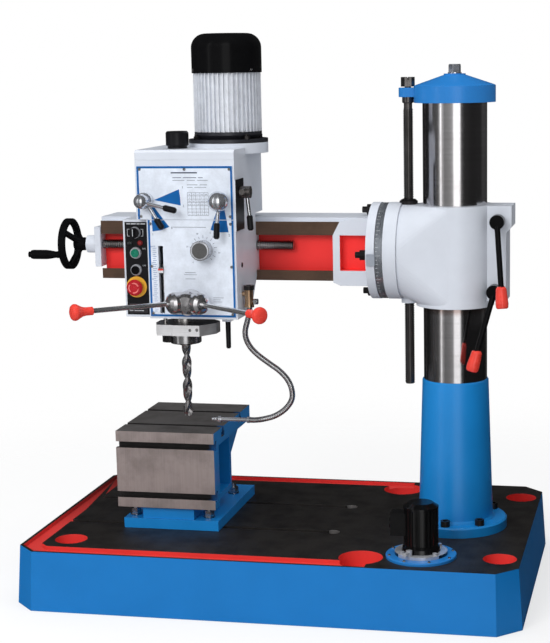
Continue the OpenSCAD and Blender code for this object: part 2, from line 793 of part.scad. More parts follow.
module arm_sleeve() {
  color(casting_white) difference() {
    union() {
      rod_z(slv_r, slv_bot, slv_top, col_x, 0);
      hull() {
        translate([slv_back_x, 0, arm_z]) rotate([0, 90, 0])
          cylinder(r = flange_r - 5, h = 2, $fn = 64);
        translate([col_x, 0, slv_bot + 6])
          cylinder(r = slv_r - 2, h = slv_top - slv_bot - 6, $fn = 64);
      }
      rod_x(flange_r, slv_face_x, slv_back_x + 1, 0, arm_z);
      rod_x(band_r, joint_x, slv_face_x + 1, 0, arm_z);
      rod_z(24, slv_top - 60, slv_top, lift_x, 0);
      rod_z(20, slv_bot + 3, slv_bot + 90, lift_x, 0);
      slab_y(-lug_y, lug_y) polygon([
        [lug_x0, slv_bot + 15], [lug_web_x, slv_bot + 15], [lug_web_x, slv_top - 66],
        [lug_top_x, slv_top - 52], [lug_top_x, slv_top], [lug_x0, slv_top]
      ]);
    }
    rod_z(col_r + run_fit, slv_bot - 1, slv_top + 1, col_x, 0);
    block(slit_x - 4, lug_top_x + 1, -slit_w / 2, slit_w / 2, slv_bot - 1, slv_top + 1);
    rod_x(pilot_r + run_fit, joint_x - 1, slv_back_x - 7, 0, arm_z);
    translate([joint_x, 0, arm_z]) rotate([0, 90, 0]) rotate_extrude($fn = fine) {
      translate([flange_pcr - 8.5, -1]) square([17, slv_face_x - joint_x + 5]);
      translate([flange_pcr - 14, slv_face_x - joint_x + 3]) square([28, 16]);
    }
    rod_z(lift_screw_r + 1.5, slv_bot - 1, slv_top + 1, lift_x, 0);
    rod_z(nut_r + run_fit, nut_bot, slv_top + 3, lift_x, 0);
    rod_z(nut_r + 5.4, slv_top + 1.7, slv_top + 20, lift_x, 0);
    for (s = [upper_stud, lower_stud])
      rod_y(stud_r + run_fit, -lug_y - 1, lug_y + 1, s[0], s[1]);
  }
}

module angle_ring() {
  color(black) translate([joint_x + 1, 0, arm_z]) rotate([0, 90, 0]) rotate_extrude($fn = fine)
    translate([band_r, 0]) square([ring_t, ring_w - 1]);
}

module clamp_studs() {
  color(black) for (s = [upper_stud, lower_stud]) translate([s[0], 0, s[1]]) {
    rotate([90, 0, 0]) translate([0, 0, -lug_y - 16])
      cylinder(r = stud_r, h = 2 * lug_y + 44, $fn = fine);
    rotate([90, 0, 0]) translate([0, 0, lug_y]) difference() {
      cylinder(r = 15, h = 4, $fn = mid);
      translate([0, 0, -1]) cylinder(r = stud_r - eps, h = 6, $fn = mid);
    }
    rotate([-90, 0, 0]) translate([0, 0, lug_y]) hex(24, 13);
  }
}

module elevating_nut() {
  color(black) translate([lift_x, 0, nut_bot]) rotate_extrude($fn = fine) polygon([
    [lift_screw_r + run_fit, 0], [nut_r, 0], [nut_r, 34], [nut_r + 5, 34], [nut_r + 5, 40],
    [nut_r - 1, 45], [lift_screw_r + run_fit, 45]
  ]);
}

// Clamp lever: round hub on a stud, leaning rod and a red grip
module clamp_lever(stud, mid_p, tip_p) {
  hub_y = -lug_y - 5;
  color(black) difference() {
    union() {
      rod_y(18, hub_y - 30, hub_y, stud[0], stud[1]);
      bar([stud[0], hub_y - 22, stud[1] - 4], mid_p, 7);
    }
    rod_y(stud_r + run_fit, hub_y - 24, hub_y + 1, stud[0], stud[1]);
  }
  d = tip_p - mid_p;
  color(knob_red) translate(mid_p - d / norm(d))
    rotate([0, acos(d[2] / norm(d)), atan2(d[1], d[0])])
    rotate_extrude($fn = mid) polygon([
      [0, 0], [9, 0], [13, 6], [16, norm(d) - 12], [15, norm(d) - 3], [12, norm(d)],
      [0, norm(d)]
    ]);
}

module upper_clamp_lever() {
  clamp_lever(upper_stud, [557, -112, 786], [561, -119, 732]);
}

module lower_clamp_lever() {
  clamp_lever(lower_stud, [500, -118, 628], [486, -122, 576]);
}

// Arm with its dovetail ways

module way_section(grow) {
  polygon([
    [-arm_half - 2 * grow, way_low_z + grow],
    [web_y, way_low_z - way_undercut + grow],
    [web_y, way_up_z + way_undercut - grow],
    [-arm_half - 2 * grow, way_up_z - grow]
  ]);
}

module arm_casting() {
  cap_z = way_top + arm_cap_t;
  back = arm_half - arm_wall;
  floor_z = way_bot + arm_wall;
  color(casting_white) difference() {
    union() {
      block(-arm_end, root_x + 1, -arm_half, arm_half, way_bot, way_top);
      block(-arm_end, root_x + 70, 8 - arm_half, arm_half, way_top - 1, cap_z);
      slab_y(-arm_half, arm_half) polygon([
        [root_x, way_bot - 4], [root_x + rib_w, way_bot - 12], [flange_x + 1, way_bot - 12],
        [flange_x + 1, cap_z], [root_x + 68, cap_z], [root_x + rib_w, way_top],
        [root_x, way_top]
      ]);
      rod_x(flange_r, flange_x, joint_x - 0.2, 0, arm_z);
      rod_x(pilot_r, joint_x - 1, slv_back_x - 9, 0, arm_z);
    }
    slab_x(-arm_end - 1, root_x) polygon([
      [-arm_half - 1, way_low_z + 0.4], [web_y, way_low_z - way_undercut],
      [web_y, way_up_z + way_undercut], [-arm_half - 1, way_up_z - 0.4]
    ]);
    block(root_x + rib_w, flange_x, -arm_half - 1, web_y - 4, way_low_z, way_up_z);
    block(-arm_end + arm_wall, root_x - arm_wall, web_y + arm_web, back, floor_z, way_top - 12);
    for (x = [-360, -175, 10])
      translate([x, back - 1, arm_z]) rotate([-90, 0, 0])
        cylinder(r = 38, h = arm_wall + 2, $fn = fine);
    rod_x(pilot_r - 15, joint_x - 10, slv_back_x, 0, arm_z);
    block(flange_x + 3, joint_x, -flange_r - 1, 2.6 - flange_r, arm_z - 25, arm_z + 4);
    flange_bolt_places() cylinder(r = stud_r + 0.4, h = 90, $fn = fine);
  }
}

// Bolts of the arm's flange: local +Z runs toward the column
module flange_bolt_places() {
  for (a = [0:90:270]) translate([flange_x - 30, 0, arm_z]) rotate([a, 0, 0])
    translate([0, 0, flange_pcr]) rotate([0, 90, 0]) children();
}

module arm_flange_bolts() {
  color(black) flange_bolt_places() {
    translate([0, 0, 2]) cylinder(r = stud_r, h = 88, $fn = mid);
    translate([0, 0, 14]) hex(24, 16);
    translate([-12, -12, slv_face_x - flange_x + 34.5]) cube([24, 24, 13]);
  }
}

module tilt_pointer() {
  color(steel) {
    block(flange_x + 3, joint_x - 1, -flange_r - 3, 2.6 - flange_r, arm_z - 25, arm_z + 4);
    block(joint_x - 2, joint_x + 2, -flange_r - 3, -flange_r - 0.6, arm_z - 25, arm_z + 4);
  }
}

// Left end of the arm: bracket, head traverse screw and handwheel

module end_bracket() {
  x0 = -arm_end - 16;
  bore = lead_journal_r + run_fit;
  color(casting_white) difference() {
    union() {
      block(x0, -arm_end, lead_y - 22, lead_y + 36, way_low_z + 5, way_up_z + 18);
      rod_x(22.5, x0 - 25, x0 + 1, lead_y, lead_z);
    }
    rod_x(bore, x0 - 26, -arm_end + 1, lead_y, lead_z);
  }
  color(black) for (z = [way_low_z + 15, way_up_z + 8])
    rod_x(6, x0 - 5, x0 + 0.3, lead_y + 24, z);
}

module traverse_screw() {
  x0 = -arm_end + 2;
  color(steel) translate([x0, lead_y, lead_z]) rotate([0, 90, 0]) rotate_extrude($fn = fine)
    polygon([
      [0, -66], [lead_journal_r, -66], [lead_journal_r, 0], [lead_r, 0],
      [lead_r, lead_end - x0 - 2], [lead_r - 2, lead_end - x0], [0, lead_end - x0]
    ]);
}

module grip_place() {
  r = wheel_r - wheel_rim_t / 2;
  translate([
    wheel_x - wheel_rim_w / 2, lead_y + r * cos(grip_angle), lead_z + r * sin(grip_angle)
  ]) rotate([0, -90, 0]) children();
}

module handwheel() {
  hub_x = -arm_end - 62;
  rim = wheel_r - wheel_rim_t / 2;
  color(black) translate([wheel_x, lead_y, lead_z]) rotate([0, 90, 0]) {
    rotate_extrude($fn = fine) translate([rim, 0]) intersection() {
      square([wheel_rim_t, wheel_rim_w], center = true);
      circle(r = wheel_rim_w * 0.55, $fn = mid);
    }
    difference() {
      rotate_extrude($fn = fine) polygon([
        [0, hub_x - wheel_x - 16], [14, hub_x - wheel_x - 16], [17, hub_x - wheel_x - 12],
        [17, hub_x - wheel_x + 12], [15, hub_x - wheel_x + 16], [0, hub_x - wheel_x + 16]
      ]);
      translate([0, 0, hub_x - wheel_x - 2])
        cylinder(r = lead_journal_r, h = 30, $fn = fine);
    }
  }
  color(black) for (a = [22, 142, 262]) bar(
    [hub_x - 2, lead_y + 12 * cos(a), lead_z + 12 * sin(a)],
    [wheel_x, lead_y + rim * cos(a), lead_z + rim * sin(a)], 8
  );
  color(black) grip_place() {
    translate([0, 0, -2]) cylinder(r = 9, h = 8, $fn = mid);
    cylinder(r = 5, h = grip_l + 12, $fn = fine);
    translate([0, 0, grip_l + 10]) cylinder(r = 7.5, h = 4, $fn = mid);
  }
}

module handwheel_grip() {
  color(black) grip_place() translate([0, 0, 6.5]) rotate_extrude($fn = fine) polygon([
    [5 + run_fit, 0], [grip_r - 4, 0], [grip_r - 1, 18], [grip_r, 28], [grip_r, grip_l - 5],
    [grip_r - 1, grip_l], [grip_r - 4, grip_l + 3], [5 + run_fit, grip_l + 3]
  ]);
}

// Drill head: casting, cover and plates

back_cut = 83;
back_cut_d = 65;

module shaft_holes(grow) {
  r = 9 + grow;
  front = head_front - 20;
  back = head_front + head_wall + 1;
  rod_y(r, front, back, gear_lever_x, lever_z);
  rod_y(r, front, back, feed_lever_x, lever_z);
  rod_y(r, front, back, dial_x, dial_z);
}

module head_casting() {
  in_front = head_front + head_wall;
  in_back = slide_y - head_back_wall;
  bore = quill_r + run_fit;
  color(casting_white) difference() {
    union() {
      block(head_left, head_right, head_front, head_back, head_step, head_joint);
      slab_x(head_low_left, head_right) polygon([
        [head_front, head_bot], [slide_y - back_cut_d, head_bot],
        [slide_y, head_bot + back_cut], [slide_y, head_step + 1],
        [head_front, head_step + 1]
      ]);
      intersection() {
        slab_x(head_low_left, head_right) way_section(way_fit);
        block(head_low_left, head_right, slide_y - 1, web_y - 3, way_bot, way_top);
      }
      block(head_right - 1, head_right + 2, head_front, head_front + 76, 932, 1056);
      for (y = [spin_y - 2, spin_y + 18])
        block(-126, -104, y, y + 6, head_bot - 16, head_bot + 1);
    }
    block(head_left + head_wall, head_right - head_wall, in_front, head_back - head_wall,
      head_step + head_wall, head_joint + 1);
    difference() {
      slab_x(head_low_left + head_wall, head_right - head_wall) polygon([
        [in_front, head_bot + head_wall], [slide_y - 72, head_bot + head_wall],
        [in_back, head_bot + back_cut + 3], [in_back, head_step], [in_front, head_step]
      ]);
      rod_z(quill_r + 9, head_bot, head_step + 1, spin_x, spin_y);
      rod_y(30, in_front - 1, in_front + 14, cap_x, cap_z);
    }
    rod_z(bore, head_bot - 1, head_step - 8, spin_x, spin_y);
    rod_z(spline_r + 2, head_step - 9, head_step + head_wall + 1, spin_x, spin_y);
    rod_z(8 + run_fit, head_step + 5, head_step + head_wall + 1, idler_x, idler_y);
    rod_y(pinion_pr + 3, spin_y - 18, spin_y + 18, cap_x, cap_z);
    rod_y(cap_shaft_r + run_fit, head_front - 1, spin_y, cap_x, cap_z);
    shaft_holes(run_fit);
    block(depth_x - depth_slot_w / 2, depth_x + depth_slot_w / 2, head_front - 1,
      in_front + 1, depth_slot_bot, depth_slot_top);
    rod_z(5 + 0.3, head_bot - 1, head_bot + head_wall + 1, depth_x, depth_rod_y);
    rod_x(lead_r + 1, head_low_left - 1, head_right + 1, lead_y, lead_z);
    nut_block(0);
    rod_x(8 + run_fit, head_right - head_wall - 1, head_right + 3, -215, 1024);
    rod_x(4, head_right - 10, head_right + 1, -205, 845);
    rod_y(3 + run_fit, spin_y - 3, spin_y + 25, -115, head_bot - 8);
  }
}

module nut_block(bore) {
  x = (head_low_left + head_right) / 2 - 60;
  difference() {
    block(x - 30, x + 30, slide_y - head_back_wall, web_y - 3, lead_z - 20, lead_z + 20);
    if (bore > 0) rod_x(bore, x - 31, x + 31, lead_y, lead_z);
  }
}

module traverse_nut() {
  color(brass) nut_block(lead_r + run_fit);
}

module head_cover() {
  color(casting_white) difference() {
    union() {
      slab_x(head_left, head_right) polygon([
        [head_front, head_joint], [head_back, head_joint], [head_back, head_top - 4],
        [head_back - 4, head_top], [head_front + 6, head_top],
        [head_front, head_top - 6]
      ]);
      rod_z(mot_flange_r, head_top - 16, mot_seat, mot_x, mot_y);
      rod_z(16, head_joint - 20, head_joint + 1, idler_x, idler_y);
      rod_z(22, head_joint - 20, head_joint + 1, spin_x, spin_y);
    }
    rod_z(cover_hole_r, head_joint - 1, mot_seat + 1, mot_x, mot_y);
    rod_z(8 + run_fit, head_joint - 21, head_joint + 9, idler_x, idler_y);
    rod_z(spline_r + 1, head_joint - 21, head_joint + 5, spin_x, spin_y);
    block(head_left - 1, head_right + 80, head_back - 80, head_back + 60,
      head_top - 30, head_joint);
  }
}

module upper_plate() {
  y1 = head_front;
  color(steel) difference() {
    block(head_left + plate_inset, head_right - plate_inset, y1 - plate_t, y1,
      plate_joint + 0.6, plate_top);
    shaft_holes(1);
  }
}

module lower_plate() {
  y1 = head_front;
  color(steel) difference() {
    block(head_low_left + plate_inset - 1, head_right - plate_inset, y1 - plate_t, y1,
      head_bot + 5, plate_joint - 0.6);
    shaft_holes(1);
    rod_y(cap_shaft_r + 8, y1 - 5, y1 + 1, cap_x, cap_z);
    block(depth_x - depth_slot_w / 2, depth_x + depth_slot_w / 2, y1 - 5, y1 + 1,
      depth_slot_bot, depth_slot_top);
  }
}

module head_screws() {
  y = head_front - plate_t;
  color(steel) for (p = [
    [head_left + 12, plate_top - 8], [-192, plate_top - 8], [head_right - 12, plate_top - 8],
    [head_left + 12, plate_joint + 8], [head_right - 12, plate_joint + 8],
    [head_right - 12, plate_joint - 10], [head_low_left + 10, plate_joint - 10],
    [head_low_left + 10, 846], [head_right - 12, 846],
    [head_low_left + 10, head_bot + 13], [head_right - 12, head_bot + 13]
  ]) translate([p[0], y, p[1]]) rotate([90, 0, 0])
    cylinder(r1 = 4, r2 = 3, h = 2.2, $fn = 24);
  color(black) for (a = [45:90:315]) translate([mot_x, mot_y, 0]) rotate([0, 0, a])
    translate([mot_flange_r - 8, 0, flange_top]) {
      hex(13, 8);
      cylinder(r = 4.5, h = 13, $fn = 24);
    }
  color(black) translate([head_left + 14, head_back - 14, head_top])
    cylinder(r = 6, h = 5, $fn = 24);
}

module breather_cap() {
  color(black) translate([-231, -180, head_top]) rotate_extrude($fn = fine) polygon([
    [0, 0], [24, 0], [24, 6], [28, 8], [28, 38], [25, 42], [0, 42]
  ]);
}

// Motor on top of the head

module motor_flange() {
  color(black) translate([mot_x, mot_y, 0]) difference() {
    union() {
      rod_z(mot_flange_r, mot_seat, flange_top, 0, 0);
      rotate_extrude($fn = fine) polygon([
        [14, flange_top - 1], [mot_r - 12, flange_top - 1], [mot_r, bell_top - 8],
        [mot_r, bell_top], [14, bell_top]
      ]);
    }
    rod_z(12 + run_fit, mot_seat - 1, bell_top + 1, 0, 0);
  }
}

module motor_housing() {
  core = mot_r - fin_h;
  color(steel) translate([mot_x, mot_y, bell_top]) difference() {
    union() {
      cylinder(r = core, h = fin_top - bell_top - 3, $fn = fine);
      for (i = [0:fin_n - 1]) rotate([0, 0, i * 360 / fin_n])
        translate([core - 2, -1.2, 0]) cube([fin_h + 2, 2.4, fan_cover_bot - bell_top]);
    }
    translate([0, 0, -1]) cylinder(r = 60, h = fan_cover_bot - bell_top - 9, $fn = fine);
    translate([0, 0, -1]) cylinder(r = 12 + run_fit, h = 200, $fn = fine);
  }
}

module fan_cover() {
  r = fan_cover_r;
  s = fan_cover_round;
  inner = fan_cover_r - 3;
  top = fan_cover_top;
  color(black) translate([mot_x, mot_y, 0]) difference() {
    rotate_extrude($fn = fine) difference() {
      union() {
        translate([0, fan_cover_bot]) square([r, top - s - fan_cover_bot]);
        translate([0, top - s - 1]) square([r - s, s + 1]);
        intersection() {
          translate([r - s, top - s]) circle(r = s, $fn = fine);
          translate([r - s, top - s]) square([s, s]);
        }
      }
      translate([-1, fan_cover_bot - 1]) square([inner + 1, top - s - fan_cover_bot + 1]);
      translate([-1, top - s - 1]) square([r - s + 1, s - 2]);
      intersection() {
        translate([r - s, top - s]) circle(r = s - 3, $fn = fine);
        translate([r - s - 1, top - s - 1]) square([s, s]);
      }
      translate([-r, 0]) square([r, 2 * top]);
    }
    for (i = [-4:4]) {
      w = sqrt(pow(50, 2) - pow(i * 11, 2));
      translate([-w, i * 11 - 2.5, top - 10]) cube([2 * w, 5, 20]);
    }
  }
}

module rotor() {
  color(steel) translate([mot_x, mot_y, 0]) {
    rod_z(12, mot_gear_z - 5, fan_cover_bot + 40, 0, 0);
    rod_z(57, bell_top + 10, fan_cover_bot - 14, 0, 0);
    translate([0, 0, mot_gear_z]) rotate([0, 0, ab_angle]) spur_gear(teeth_a, gear_m, gear_w);
  }
}

module cooling_fan() {
  color(black) translate([mot_x, mot_y, fan_cover_bot + 8]) {
    difference() {
      union() {
        cylinder(r = 20, h = 30, $fn = fine);
        for (i = [0:6]) rotate([0, 0, i * 360 / 7])
          translate([15, -1.5, 0]) cube([56, 3, 28]);
        cylinder(r = 60, h = 3, $fn = fine);
      }
      translate([0, 0, -1]) cylinder(r = 12, h = 40, $fn = fine);
    }
  }
}

// Gears inside the head

module idler_gear() {
  color(steel) translate([idler_x, idler_y, 0]) {
    rod_z(8, head_step + 6, head_joint + 8, 0, 0);
    translate([0, 0, mot_gear_z]) rotate([0, 0, ab_angle + 180 + 180 / teeth_b])
      spur_gear(teeth_b, gear_m, gear_w);
    rod_z(18, spin_gear_z - 1, mot_gear_z, 0, 0);
    translate([0, 0, spin_gear_z]) rotate([0, 0, bc_angle])
      spur_gear(teeth_c, gear_m, gear_w + 5);
  }
}

module spindle_gear() {
  color(steel) translate([spin_x, spin_y, 0]) difference() {
    union() {
      rod_z(20, spin_gear_z - 2.7, spin_gear_z + gear_w + 10, 0, 0);
      translate([0, 0, spin_gear_z]) rotate([0, 0, bc_angle + 180 + 180 / teeth_d])
        spur_gear(teeth_d, gear_m, gear_w + 5);
    }
    rod_z(spline_r + run_fit, spin_gear_z - 5, spin_gear_z + 50, 0, 0);
  }
}

// Control box on the head's left side

module control_box() {
  color(casting_white) difference() {
    block(ctl_left, head_low_left, ctl_front, ctl_front + ctl_d, ctl_bot, ctl_top);
    block(ctl_left + ctl_t, head_low_left - ctl_t, ctl_front + ctl_t,
      ctl_front + ctl_d - ctl_t, ctl_bot + ctl_t, ctl_top - ctl_t);
    block(ctl_left + 9, head_low_left - 9, ctl_front - 1, ctl_front + 5,
      ctl_bot + 12, ctl_top - 12);
  }
}

module at_button(z) {
  to_front(button_x + 2, ctl_front - plate_t, z) children();
}

module control_panel() {
  color(black) difference() {
    block(ctl_left + 5, head_low_left - 5, ctl_front - plate_t, ctl_front,
      ctl_bot + 6, ctl_top - 6);
    for (z = [926, 876, 834]) at_button(z)
      translate([0, 0, -5]) cylinder(r = button_r - 1.5, h = 10, $fn = fine);
    at_button(792) translate([0, 0, -5]) cylinder(r = 9.5, h = 10, $fn = fine);
  }
  color(chrome) for (z = [926, 876, 834]) at_button(z) rotate_extrude($fn = fine)
    polygon([[button_r - 1.5, 0], [button_r + 2.5, 0], [button_r + 1, 5], [button_r - 1.5, 5]]);
  color(brass) at_button(792) rotate_extrude($fn = fine)
    polygon([[9.5, 0], [26, 0], [26, 2], [9.5, 2]]);
  color(knob_red) for (s = [-1, 1]) to_front(button_x + 2 + s * 13, ctl_front - plate_t, 901)
    rotate_extrude($fn = fine) polygon([[0, 0], [6.5, 0], [6.5, 4], [4, 7], [0, 8]]);
  color(steel) block(ctl_left + 10, head_low_left - 10, ctl_front - plate_t - 1,
    ctl_front - plate_t, ctl_bot + 10, ctl_bot + 34);
}

// Push button: cap through the panel, block with its guide behind it
module push_button(cap_h) {
  translate([0, 0, -12]) cylinder(r = button_r - 1.9, h = 12 + cap_h, $fn = fine);
  translate([0, 0, -24]) cylinder(r = button_r + 1, h = 13, $fn = fine);
}

module selector_switch() {
  color(black) at_button(926) {
    translate([0, 0, -20]) cylinder(r = button_r - 1.9, h = 26, $fn = fine);
    translate([0, 0, -24]) cylinder(r = button_r + 1, h = 18, $fn = fine);
    translate([0, 0, 5.5]) cylinder(r = button_r + 0.5, h = 5, $fn = fine);
    translate([-3, -11, 10]) cube([6, 22, 9]);
  }
}

module start_button() {
  color("green") at_button(876) push_button(9);
}

module stop_button() {
  color(black) at_button(834) push_button(10);
}

module emergency_stop() {
  color(knob_red) at_button(792) {
    translate([0, 0, -12]) cylinder(r = 9, h = 26, $fn = fine);
    translate([0, 0, -24]) cylinder(r = button_r, h = 13, $fn = fine);
    translate([0, 0, 10]) rotate_extrude($fn = fine) polygon([
      [0, 0], [stop_r - 3, 0], [stop_r, 4], [stop_r, 9], [stop_r - 4, 14], [0, 16]
    ]);
  }
}

// Quill with its rack, spindle, depth clamp and drill

rack_top = 876;
rack_bot = 748;
rack_pitch = 2 * PI;

module quill() {
  color(steel) difference() {
    rod_z(quill_r, quill_bot, quill_top, spin_x, spin_y);
    rod_z(spindle_r + 0.5, quill_bot - 1, quill_top + 1, spin_x, spin_y);
    block(rack_x + 1.6, rack_x + 20, spin_y - 30, spin_y + 30, rack_bot - 8, rack_top + 8);
    for (k = [-2:18]) translate([rack_x, 0, cap_z + k * rack_pitch])
      slab_y(spin_y - 17, spin_y + 17)
      polygon([[-2.4, -1.25], [1.7, -2.6], [1.7, 2.6], [-2.4, 1.25]]);
  }
}

module quill_ring_nut() {
  z = quill_bot + 1;
  color(black) difference() {
    union() {
      translate([spin_x, spin_y, z]) rotate_extrude($fn = fine) polygon([
        [0, 0], [ringnut_r - 2, 0], [ringnut_r, 2], [ringnut_r, ringnut_h - 3],
        [ringnut_r - 3, ringnut_h - 0.5], [0, ringnut_h - 0.5]
      ]);
      translate([spin_x - ringnut_r + 1, spin_y - 8, z + 3]) {
        cylinder(r = 18, h = 15, $fn = fine);
        for (i = [0:17]) rotate([0, 0, i * 20]) translate([17, -1.5, 0])
          cube([2.5, 3, 15]);
      }
    }
    rod_z(quill_r, z - 1, z + ringnut_h, spin_x, spin_y);
  }
}

module depth_clamp() {
  z = quill_bot + ringnut_h + 0.8;
  y = depth_rod_y;
  color(casting_white) difference() {
    translate([0, 0, z]) linear_extrude(27) polygon([
      [-291, -212], [-278, y - 11], [-240, y - 11], [-236, y - 15], [-168, y - 15],
      [-138, -205], [-138, -170], [-165, -143], [-262, -143], [-291, -175]
    ]);
    rod_z(quill_r, z - 1, z + 30, spin_x, spin_y);
    for (p = [[-192, 15], [-174, 16]]) rod_y(p[1] / 4, y - 16, y - 6, p[0], z + p[1]);
  }
  color(steel) {
    rod_z(5, z + 1, 850, depth_x, y);
    block(depth_x - 5, depth_x + 5, head_front - 8, y - 3, 830, 844);
  }
}

module spindle() {
  color(steel) difference() {
    union() {
      rod_z(spindle_r, quill_bot - 4, quill_top - 4, spin_x, spin_y);
      rod_z(spline_r, quill_top - 5, spline_top, spin_x, spin_y);
    }
    rod_z(drill_r - 1, quill_bot - 5, quill_bot + 70, spin_x, spin_y);
  }
}

module twist_drill() {
  shank_z = drill_tip + 146;
  color(chrome) translate([spin_x, spin_y, 0]) {
    rod_z(drill_r - 1, shank_z + 38, quill_bot + 70, 0, 0);
    rod_z(drill_r, shank_z, shank_z + 40 - eps, 0, 0);
    intersection() {
      translate([0, 0, drill_tip]) linear_extrude(147, twist = -620, slices = 36)
        difference() {
          circle(r = drill_r, $fn = 24);
          for (s = [-1, 1]) translate([s * drill_r * 0.86, 0])
            circle(r = drill_r * 0.62, $fn = 14);
        }
      translate([0, 0, drill_tip]) rotate_extrude($fn = mid)
        polygon([[0, 0], [drill_r + 1, 7.5], [drill_r + 1, 160], [0, 160]]);
    }
  }
}

// Capstan that feeds the quill

module capstan_hub() {
  hub_y = head_front - plate_t - 1;
  color(chrome) {
    rod_y(cap_shaft_r, hub_y - 4, spin_y - 14, cap_x, cap_z);
    to_front(cap_x, spin_y + 15, cap_z) rotate([0, 0, 180 / pinion_teeth])
      spur_gear(pinion_teeth, 2, 30);
    to_front(cap_x, hub_y, cap_z) rotate_extrude($fn = fine) polygon([
      [0, 0], [cap_hub_r - 6, 0], [cap_hub_r, 5], [cap_hub_r, 42], [cap_hub_r - 5, 52],
      [cap_hub_r - 12, 60], [0, 62]
    ]);
    for (s = [-1, 1]) {
      translate(cap_point(s, 14)) rotate([0, 90, s > 0 ? -cap_lean : 180 + cap_lean])
        rotate_extrude($fn = fine) polygon([
          [0, 0], [24, 0], [27, 4], [27, 25], [24, 33], [17, 39], [11, 42], [0, 42]
        ]);
      bar(cap_point(s, 42), cap_point(s, cap_reach - 50.3), cap_rod_r);
    }
  }
}

// Point at this radius on a capstan arm, which leans toward the operator
function cap_point(s, r) = [
  cap_x + s * r, head_front - 22 - r * tan(cap_lean), cap_z
];

module capstan_knobs() {
  color(knob_red) for (s = [-1, 1]) translate(cap_point(s, cap_reach - 50))
    rotate([0, 90, s > 0 ? -cap_lean : 180 + cap_lean]) pear_knob(55, 20, 10);
}

// Levers and dial on the head

// Chrome rod with a plastic grip, from the hub's surface to the tip
module grip_rod(root, mid_p, tip_p, grip) {
  color(chrome) bar(root, mid_p, 4.5);
  d = tip_p - mid_p;
  color(black) translate(mid_p - 2 * d / norm(d))
    rotate([0, acos(d[2] / norm(d)), atan2(d[1], d[0])]) rotate_extrude($fn = mid) polygon([
      [0, 0], [grip - 2, 0], [grip, 4], [grip, norm(d) - 4], [grip - 3, norm(d)],
      [0, norm(d)]
    ]);
}

module low_gear_lever() {
  y = head_front - plate_t - 0.6;
  color(chrome) difference() {
    union() {
      rod_y(20, y - 15, y, gear_lever_x, lever_z);
      rod_y(9, y - 1, head_front + head_wall + 3, gear_lever_x, lever_z);
      rod_y(11.5, head_front + head_wall + 0.4, head_front + head_wall + 5,
        gear_lever_x, lever_z);
    }
    rod_y(5 + run_fit, y - 16, head_front + head_wall + 9, gear_lever_x, lever_z);
  }
  grip_rod([gear_lever_x + 12, y - 8, lever_z - 17], [-263, y - 9, 962],
    [-247, y - 10, 937], 7.5);
}

module high_gear_lever() {
  y = head_front - plate_t - 16;
  color(chrome) {
    translate([gear_lever_x, y - 18.5, lever_z]) rotate([0, 0, 180])
      sphere(r = 18, $fn = fine);
    rod_y(9, y - 5, y, gear_lever_x, lever_z);
    rod_y(5, y - 1, head_front + head_wall + 10, gear_lever_x, lever_z);
    rod_y(10, head_front + head_wall + 5.4, head_front + head_wall + 11,
      gear_lever_x, lever_z);
  }
  grip_rod([gear_lever_x + 12, y - 18, lever_z - 3.5], [-235, y - 17, 992],
    [-203, y - 16, 984], 7.5);
}

module feed_lever() {
  y = head_front - plate_t - 0.6;
  color(chrome) {
    translate([feed_lever_x, y - 26, lever_z]) sphere(r = 25, $fn = fine);
    rod_y(15, y - 12, y, feed_lever_x, lever_z);
    rod_y(9, y - 1, head_front + head_wall + 8, feed_lever_x, lever_z);
    rod_y(12, head_front + head_wall + 0.4, head_front + head_wall + 5,
      feed_lever_x, lever_z);
  }
  grip_rod([feed_lever_x, y - 25, lever_z - 20], [feed_lever_x - 4, y - 27, 954],
    [feed_lever_x - 6, y - 28, 915], 7.5);
}

module feed_dial() {
  y = head_front - plate_t - 0.6;
  color(steel) {
    difference() {
      rod_y(24, y - 31, y, dial_x, dial_z);
      for (i = [0:29]) rotate_at(dial_x, dial_z, i * 12)
        block(23.2, 26, y - 32, y - 5, -1, 1);
    }
    rod_y(9, y - 1, head_front + head_wall + 8, dial_x, dial_z);
    rod_y(12, head_front + head_wall + 0.4, head_front + head_wall + 5, dial_x, dial_z);
  }
}

module rotate_at(x, z, a) {
  translate([x, 0, z]) rotate([0, a, 0]) children();
}

module side_lever() {
  y = -215;
  z = 1024;
  x = head_right + 3;
  color(black) {
    rod_x(14.6, x, x + 26, y, z);
    rod_x(8, head_right - head_wall - 8, x + 1, y, z);
    rod_x(11, head_right - head_wall - 5, head_right - head_wall - 0.4, y, z);
    rod_y(7, y - 36, y, x + 13, z + 3);
  }
  grip_rod([x + 17, y, z - 12], [x + 22, y, 966], [x + 24, y, 929], 7.5);
}

module quill_lock_lever() {
  z = head_bot - 8;
  color(black) difference() {
    union() {
      rod_y(7, spin_y + 4.4, spin_y + 17.6, -115, z);
      translate([-115, spin_y + 11, head_bot - 85]) rotate_extrude($fn = mid) polygon([
        [0, 0], [4, 0], [6, 3], [6.3, 44], [6.5, 48], [6.5, 72], [0, 76]
      ]);
    }
    rod_y(3 + run_fit, spin_y, spin_y + 20, -115, z);
  }
  color(steel) rod_y(3, spin_y - 2, spin_y + 24, -115, z);
}

// Coolant tap, its handle and the jointed metal hose

module coolant_tap() {
  z1 = tap_bot + 45;
  color(brass) difference() {
    union() {
      rod_z(10.5, tap_bot, z1, tap_x, tap_y);
      rod_z(12, tap_bot, tap_bot + 7, tap_x, tap_y);
      rod_x(6, head_right, tap_x, tap_y, z1 - 12);
    }
    rod_z(hose_r, tap_bot - 1, hose_line[0][1], tap_x, tap_y);
    rod_z(hose_bore, tap_bot - 1, z1 - 10, tap_x, tap_y);
    rod_x(4 + run_fit, tap_x, tap_x + 20, tap_y, tap_bot + 14);
  }
  color(black) difference() {
    rod_z(13, z1 - 2, z1 + 9, tap_x, tap_y);
    rod_z(7, z1 + 4, z1 + 10, tap_x, tap_y);
  }
}

